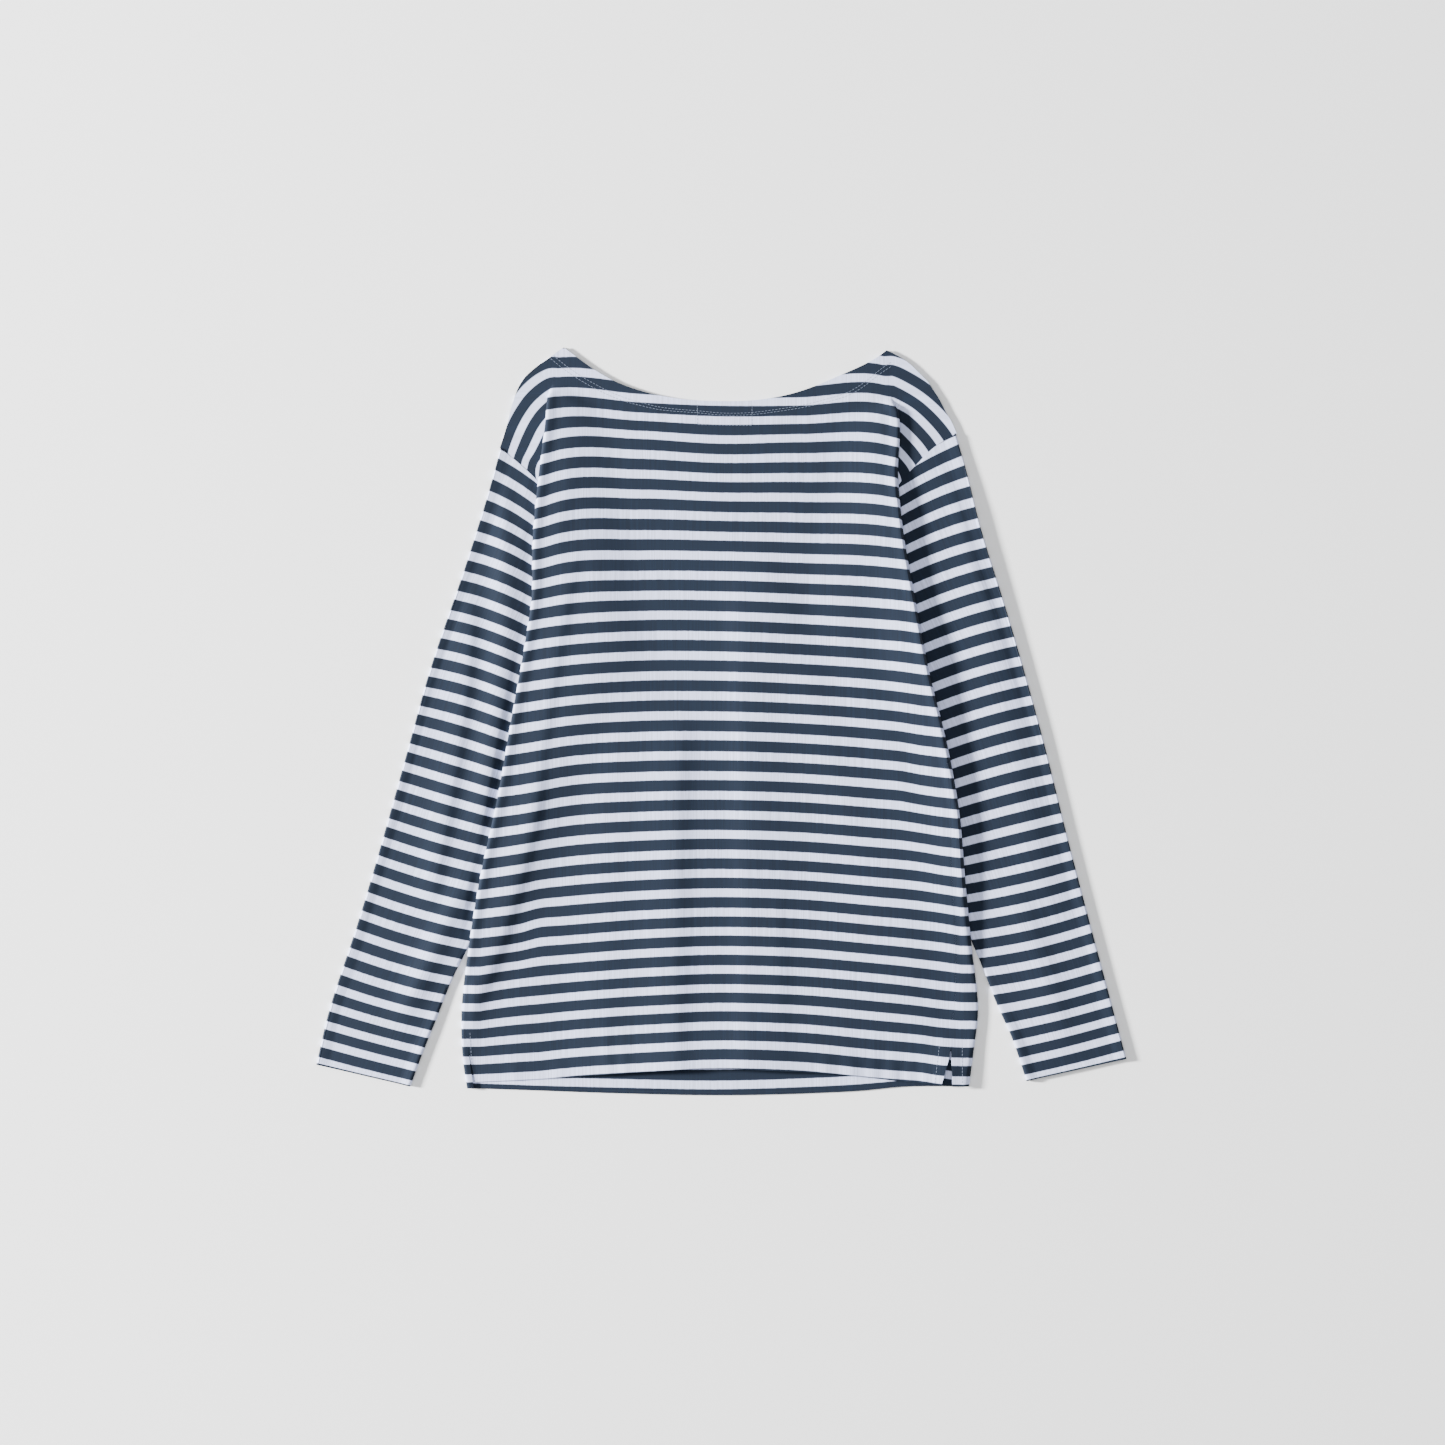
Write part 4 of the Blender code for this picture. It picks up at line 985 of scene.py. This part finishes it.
def jersey_knit():
    """Striped jersey: dark and light courses from the stripe number, with fine ribs and fuzz."""
    group = new_group(
        "striped jersey knit",
        [
            ("Stripes", "NodeSocketVector"),
            ("Dark Yarn", "NodeSocketColor"),
            ("Light Yarn", "NodeSocketColor"),
            ("Fuzz", "NodeSocketFloat"),
        ],
        [
            ("Color", "NodeSocketColor"),
            ("Roughness", "NodeSocketFloat"),
            ("Height", "NodeSocketFloat"),
        ],
    )
    nodes, links = group.nodes, group.links
    entry = nodes.new("NodeGroupInput")
    leave = nodes.new("NodeGroupOutput")
    parts = nodes.new("ShaderNodeSeparateXYZ")
    links.new(entry.outputs["Stripes"], parts.inputs[0])
    across, number = parts.outputs["X"], parts.outputs["Y"]

    wander = noise(group, across, number, WANDER_PER_MM, 1.0, 2.0)
    moved = maths(group, "ADD", number, maths(group, "MULTIPLY", wander, EDGE_WANDER))
    place = maths(group, "FRACT", maths(group, "ADD", moved, DARK_FROM_MIDDLE))
    # How far from the middle of the dark stripe, and a soft edge a course wide
    middle = maths(group, "ABSOLUTE", maths(group, "SUBTRACT", place, 0.5))
    edge = maths(group, "MULTIPLY", maths(group, "SUBTRACT", middle, DARK_HALF), EDGE_SHARPNESS)
    light = maths(group, "ADD", edge, 0.5, clamp=True)

    ribs = noise(group, across, number, RIBS_PER_MM, RIBS_PER_STRIPE, 3.0)
    fuzz = maths(group, "MULTIPLY", ribs, entry.outputs["Fuzz"])
    yarn = mixed(group, light, entry.outputs["Dark Yarn"], entry.outputs["Light Yarn"])
    shade = nodes.new("ShaderNodeHueSaturation")
    value = maths(group, "ADD", 1.0, maths(group, "MULTIPLY", fuzz, FUZZ_SHADE))
    links.new(value, shade.inputs["Value"])
    links.new(yarn, shade.inputs["Color"])
    links.new(shade.outputs["Color"], leave.inputs["Color"])
    gloss = maths(group, "ADD", ROUGHNESS, maths(group, "MULTIPLY", fuzz, FUZZ_GLOSS))
    links.new(gloss, leave.inputs["Roughness"])

    # Knit loops: rows of small arches across the cloth
    wale = maths(group, "PINGPONG", maths(group, "MULTIPLY", across, WALES_PER_MM), 0.5)
    courses = maths(group, "MULTIPLY", number, COURSES_PER_STRIPE)
    course = maths(group, "FRACT", maths(group, "ADD", courses, wale))
    loop = maths(group, "MULTIPLY", maths(group, "PINGPONG", course, 0.5), 2.0)
    height = maths(group, "MULTIPLY", loop, maths(group, "ADD", wale, 0.5))
    height = maths(group, "ADD", height, maths(group, "MULTIPLY", fuzz, FUZZ_HEIGHT))
    links.new(height, leave.inputs["Height"])
    return group


def cloth_material(name, knit):
    """Matt striped jersey that reads its stripes from the cloth's own UV map."""
    material = bpy.data.materials.new(name)
    material.use_nodes = True
    tree = material.node_tree
    surface = tree.nodes["Principled BSDF"]
    spot = tree.nodes.new("ShaderNodeUVMap")
    spot.uv_map = "stripes"
    cloth = tree.nodes.new("ShaderNodeGroup")
    cloth.node_tree = knit
    set_inputs(cloth, {"Dark Yarn": DARK_YARN, "Light Yarn": LIGHT_YARN, "Fuzz": FUZZ})
    bump = tree.nodes.new("ShaderNodeBump")
    set_inputs(bump, KNIT_BUMP)
    tree.links.new(spot.outputs["UV"], cloth.inputs["Stripes"])
    tree.links.new(cloth.outputs["Color"], surface.inputs["Base Color"])
    tree.links.new(cloth.outputs["Roughness"], surface.inputs["Roughness"])
    tree.links.new(cloth.outputs["Height"], bump.inputs["Height"])
    tree.links.new(bump.outputs["Normal"], surface.inputs["Normal"])
    set_inputs(surface, CLOTH_SURFACE)
    return material


def cloth_piece(name, node, points, stripes, material):
    """A grid laid on its points, with the stripes in its UV map and a wall on both sides."""
    rows, columns = points.shape[:2]
    bpy.ops.object.select_all(action="DESELECT")
    bpy.ops.mesh.primitive_grid_add(x_subdivisions=columns - 1, y_subdivisions=rows - 1)
    piece = bpy.context.active_object
    piece.name = name
    mesh = piece.data
    mesh.name = name
    mesh.vertices.foreach_set("co", (points * MM).ravel())
    corners = np.empty(len(mesh.loops), np.int32)
    mesh.loops.foreach_get("vertex_index", corners)
    for layer in list(mesh.uv_layers):
        mesh.uv_layers.remove(layer)
    layer = mesh.uv_layers.new(name="stripes")
    layer.data.foreach_set("uv", stripes.reshape(-1, 2)[corners].astype(np.float32).ravel())
    mesh.materials.append(material)
    wall = piece.modifiers.new("wall", "SOLIDIFY")
    wall.thickness = CLOTH * MM
    wall.offset = 0.0
    bpy.ops.object.modifier_apply(modifier=wall.name)
    bpy.ops.object.shade_smooth_by_angle(angle=SMOOTH_ANGLE)
    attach(piece, "root")
    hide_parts(node)
    return piece


def floor_and_light():
    """Pale floor just below the cloth, soft world light and the two lamps."""
    bpy.ops.object.select_all(action="DESELECT")
    bpy.ops.mesh.primitive_plane_add(size=FLOOR_SIZE, location=(0.0, 0.0, -FLOOR_BELOW))
    floor = bpy.context.active_object
    floor.name = "studio_floor"
    material = bpy.data.materials.new("pale floor")
    material.use_nodes = True
    surface = material.node_tree.nodes["Principled BSDF"]
    set_inputs(surface, FLOOR_SURFACE)
    floor.data.materials.append(material)

    world = bpy.data.worlds.new("studio")
    world.use_nodes = True
    set_inputs(world.node_tree.nodes["Background"], WORLD_LIGHT)
    bpy.context.scene.world = world

    for name, place, size, power in LAMPS:
        data = bpy.data.lights.new(name, "AREA")
        data.size = size
        data.energy = power
        light = bpy.data.objects.new(name, data)
        bpy.context.scene.collection.objects.link(light)
        light.location = place
        light.rotation_euler = light.location.to_track_quat("Z", "Y").to_euler()


def camera_above():
    """Straight above the body, the photograph's frame 1329 mm wide."""
    data = bpy.data.cameras.new("camera")
    data.lens = LENS
    data.sensor_width = SENSOR
    data.clip_end = CAMERA_REACH
    camera = bpy.data.objects.new("camera", data)
    bpy.context.scene.collection.objects.link(camera)
    camera.location = (*FRAME_CENTRE, FRAME_WIDTH / SENSOR * LENS)
    bpy.context.scene.camera = camera


def one_stitch():
    """A stitch of unit length along x: a short rod of thread whose ends dip into the cloth."""
    bpy.ops.object.select_all(action="DESELECT")
    bpy.ops.mesh.primitive_cylinder_add(
        vertices=STITCH_SIDES, radius=0.5, depth=STITCH_STRAIGHT, rotation=(0.0, math.pi / 2, 0.0)
    )
    stitch = bpy.context.active_object
    bpy.ops.object.transform_apply(location=True, rotation=True, scale=True)
    bpy.ops.object.mode_set(mode="EDIT")
    bpy.ops.mesh.select_mode(type="FACE")
    for end in (-1.0, 1.0):
        bpy.ops.mesh.select_all(action="DESELECT")
        shape = bmesh.from_edit_mesh(stitch.data)
        for face in shape.faces:
            if face.normal.x * end > END_FACE:
                face.select_set(True)
        bmesh.update_edit_mesh(stitch.data)
        dip = {"value": (end * (1.0 - STITCH_STRAIGHT) / 2, 0.0, -STITCH_DIP)}
        bpy.ops.mesh.extrude_region_move(TRANSFORM_OT_translate=dip)
        tip = (end / 2, 0.0, -STITCH_DIP)
        narrower = (1.0, STITCH_NARROWS_TO, STITCH_NARROWS_TO)
        bpy.ops.transform.resize(value=narrower, center_override=tip)
    bpy.ops.object.mode_set(mode="OBJECT")
    points = np.array([vertex.co[:] for vertex in stitch.data.vertices])
    faces = [tuple(face.vertices) for face in stitch.data.polygons]
    bpy.data.objects.remove(stitch, do_unlink=True)
    return in_order(points, faces)


def in_order(points, faces):
    """The same mesh with its points and faces sorted, because an extrude orders them
    differently from run to run."""
    order = np.lexsort(np.round(points, ORDER_DIGITS).T)
    rank = np.argsort(order).tolist()
    sorted_faces = []
    for face in faces:
        corners = [rank[corner] for corner in face]
        first = corners.index(min(corners))
        sorted_faces.append(tuple(corners[first:] + corners[:first]))
    return points[order], sorted(sorted_faces)


def stitch_ends(line):
    """Both ends of every stitch along a line of (x, level)."""
    along = measured(line)
    count = max(1, round(along[-1] / (STITCH_LENGTH + STITCH_SPACE)))
    pitch = along[-1] / count
    ends = []
    for index in range(count):
        places = (index * pitch + STITCH_SPACE / 2, (index + 1) * pitch - STITCH_SPACE / 2)
        ends.append([[np.interp(at, along, line[:, axis]) for axis in (0, 1)] for at in places])
    return ends


def landed(cloth, ends):
    """A stitch's ends dropped onto the cloth, as far as they meet it."""
    places = []
    for x, y in ends:
        above = (x * MM, y * MM, DROP_FROM * MM)
        hit, place, _, _ = cloth.ray_cast(above, (0.0, 0.0, -1.0))
        if hit:
            places.append(np.array(place) / MM)
    return places


def sewn(name, cloth, lines, pattern, material):
    """Rows of stitches that follow lines of (x, level) over the top of a cloth piece."""
    shape, faces = pattern
    points, polygons = [], []
    for line in lines:
        for ends in stitch_ends(np.array(line, float)):
            places = landed(cloth, ends)
            if len(places) < 2 or abs(places[0][2] - places[1][2]) > MOST_STEP:
                continue
            way = places[1] - places[0]
            reach = float(np.linalg.norm(way))
            way = way / reach
            side = np.cross((0.0, 0.0, 1.0), way)
            side = side / np.linalg.norm(side)
            up = np.cross(way, side)
            middle = (places[0] + places[1]) / 2 + up * THREAD * THREAD_STANDS_OUT
            start = len(points)
            for u, v, w in shape:
                points.append(middle + way * u * reach + side * v * THREAD + up * w * THREAD)
            polygons += [tuple(start + corner for corner in face) for face in faces]
    mesh = bpy.data.meshes.new(name)
    mesh.from_pydata((np.array(points) * MM).tolist(), [], polygons)
    mesh.polygons.foreach_set("use_smooth", [True] * len(mesh.polygons))
    mesh.materials.append(material)
    piece = bpy.data.objects.new(name, mesh)
    bpy.context.scene.collection.objects.link(piece)
    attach(piece, "root")
    return piece


def thread_material():
    """Grey-blue twisted sewing thread."""
    material = bpy.data.materials.new("sewing_thread")
    material.use_nodes = True
    tree = material.node_tree
    surface = tree.nodes["Principled BSDF"]
    spot = tree.nodes.new("ShaderNodeTexCoord")
    twist = tree.nodes.new("ShaderNodeTexWave")
    set_inputs(twist, THREAD_TWIST)
    tree.links.new(spot.outputs["Object"], twist.inputs["Vector"])
    shade = mixed(tree, twist.outputs["Fac"], THREAD_SHADE, THREAD_LIGHT)
    tree.links.new(shade, surface.inputs["Base Color"])
    surface.inputs["Roughness"].default_value = THREAD_ROUGHNESS
    return material


def neck_row(upper):
    """The lower or the upper row of stitches round the neck, read closely from its table."""
    first, last = NECK_STITCHES[0][0], NECK_STITCHES[-1][0]
    x = np.linspace(first, last, NECK_ROW_POINTS)
    lower = read(NECK_STITCHES, x)
    return list(zip(x, lower + (read(NECK_STITCHES, x, 2) if upper else 0.0)))


def dress():
    """The four cloth pieces, each in place of its solid, and their sewing."""
    knit = jersey_knit()
    cloth = cloth_material("striped_jersey", knit)
    back = cloth_piece("back_cloth", "back_panel", *back_grid(), cloth)
    front = cloth_piece("front_cloth", "front_panel", *front_grid(), cloth)
    left_grid = sleeve_grid("left", LEFT_SLEEVE_CREASES)
    right_grid = sleeve_grid("right", RIGHT_SLEEVE_CREASES)
    left = cloth_piece("left_sleeve_cloth", "left_sleeve", *left_grid, cloth)
    right = cloth_piece("right_sleeve_cloth", "right_sleeve", *right_grid, cloth)
    pattern = one_stitch()
    thread = thread_material()
    neck_rows = [neck_row(upper) for upper in (False, True)]
    neck = sewn("neck_stitching", back, neck_rows, pattern, thread)
    label = sewn("label_stitching", back, LABEL_STITCHES, pattern, thread)
    vents = sewn("back_vent_stitching", back, VENT_STITCHES, pattern, thread)
    strip = sewn("front_vent_stitching", front, VENT_STITCHES_FRONT, pattern, thread)


dress()
floor_and_light()
camera_above()
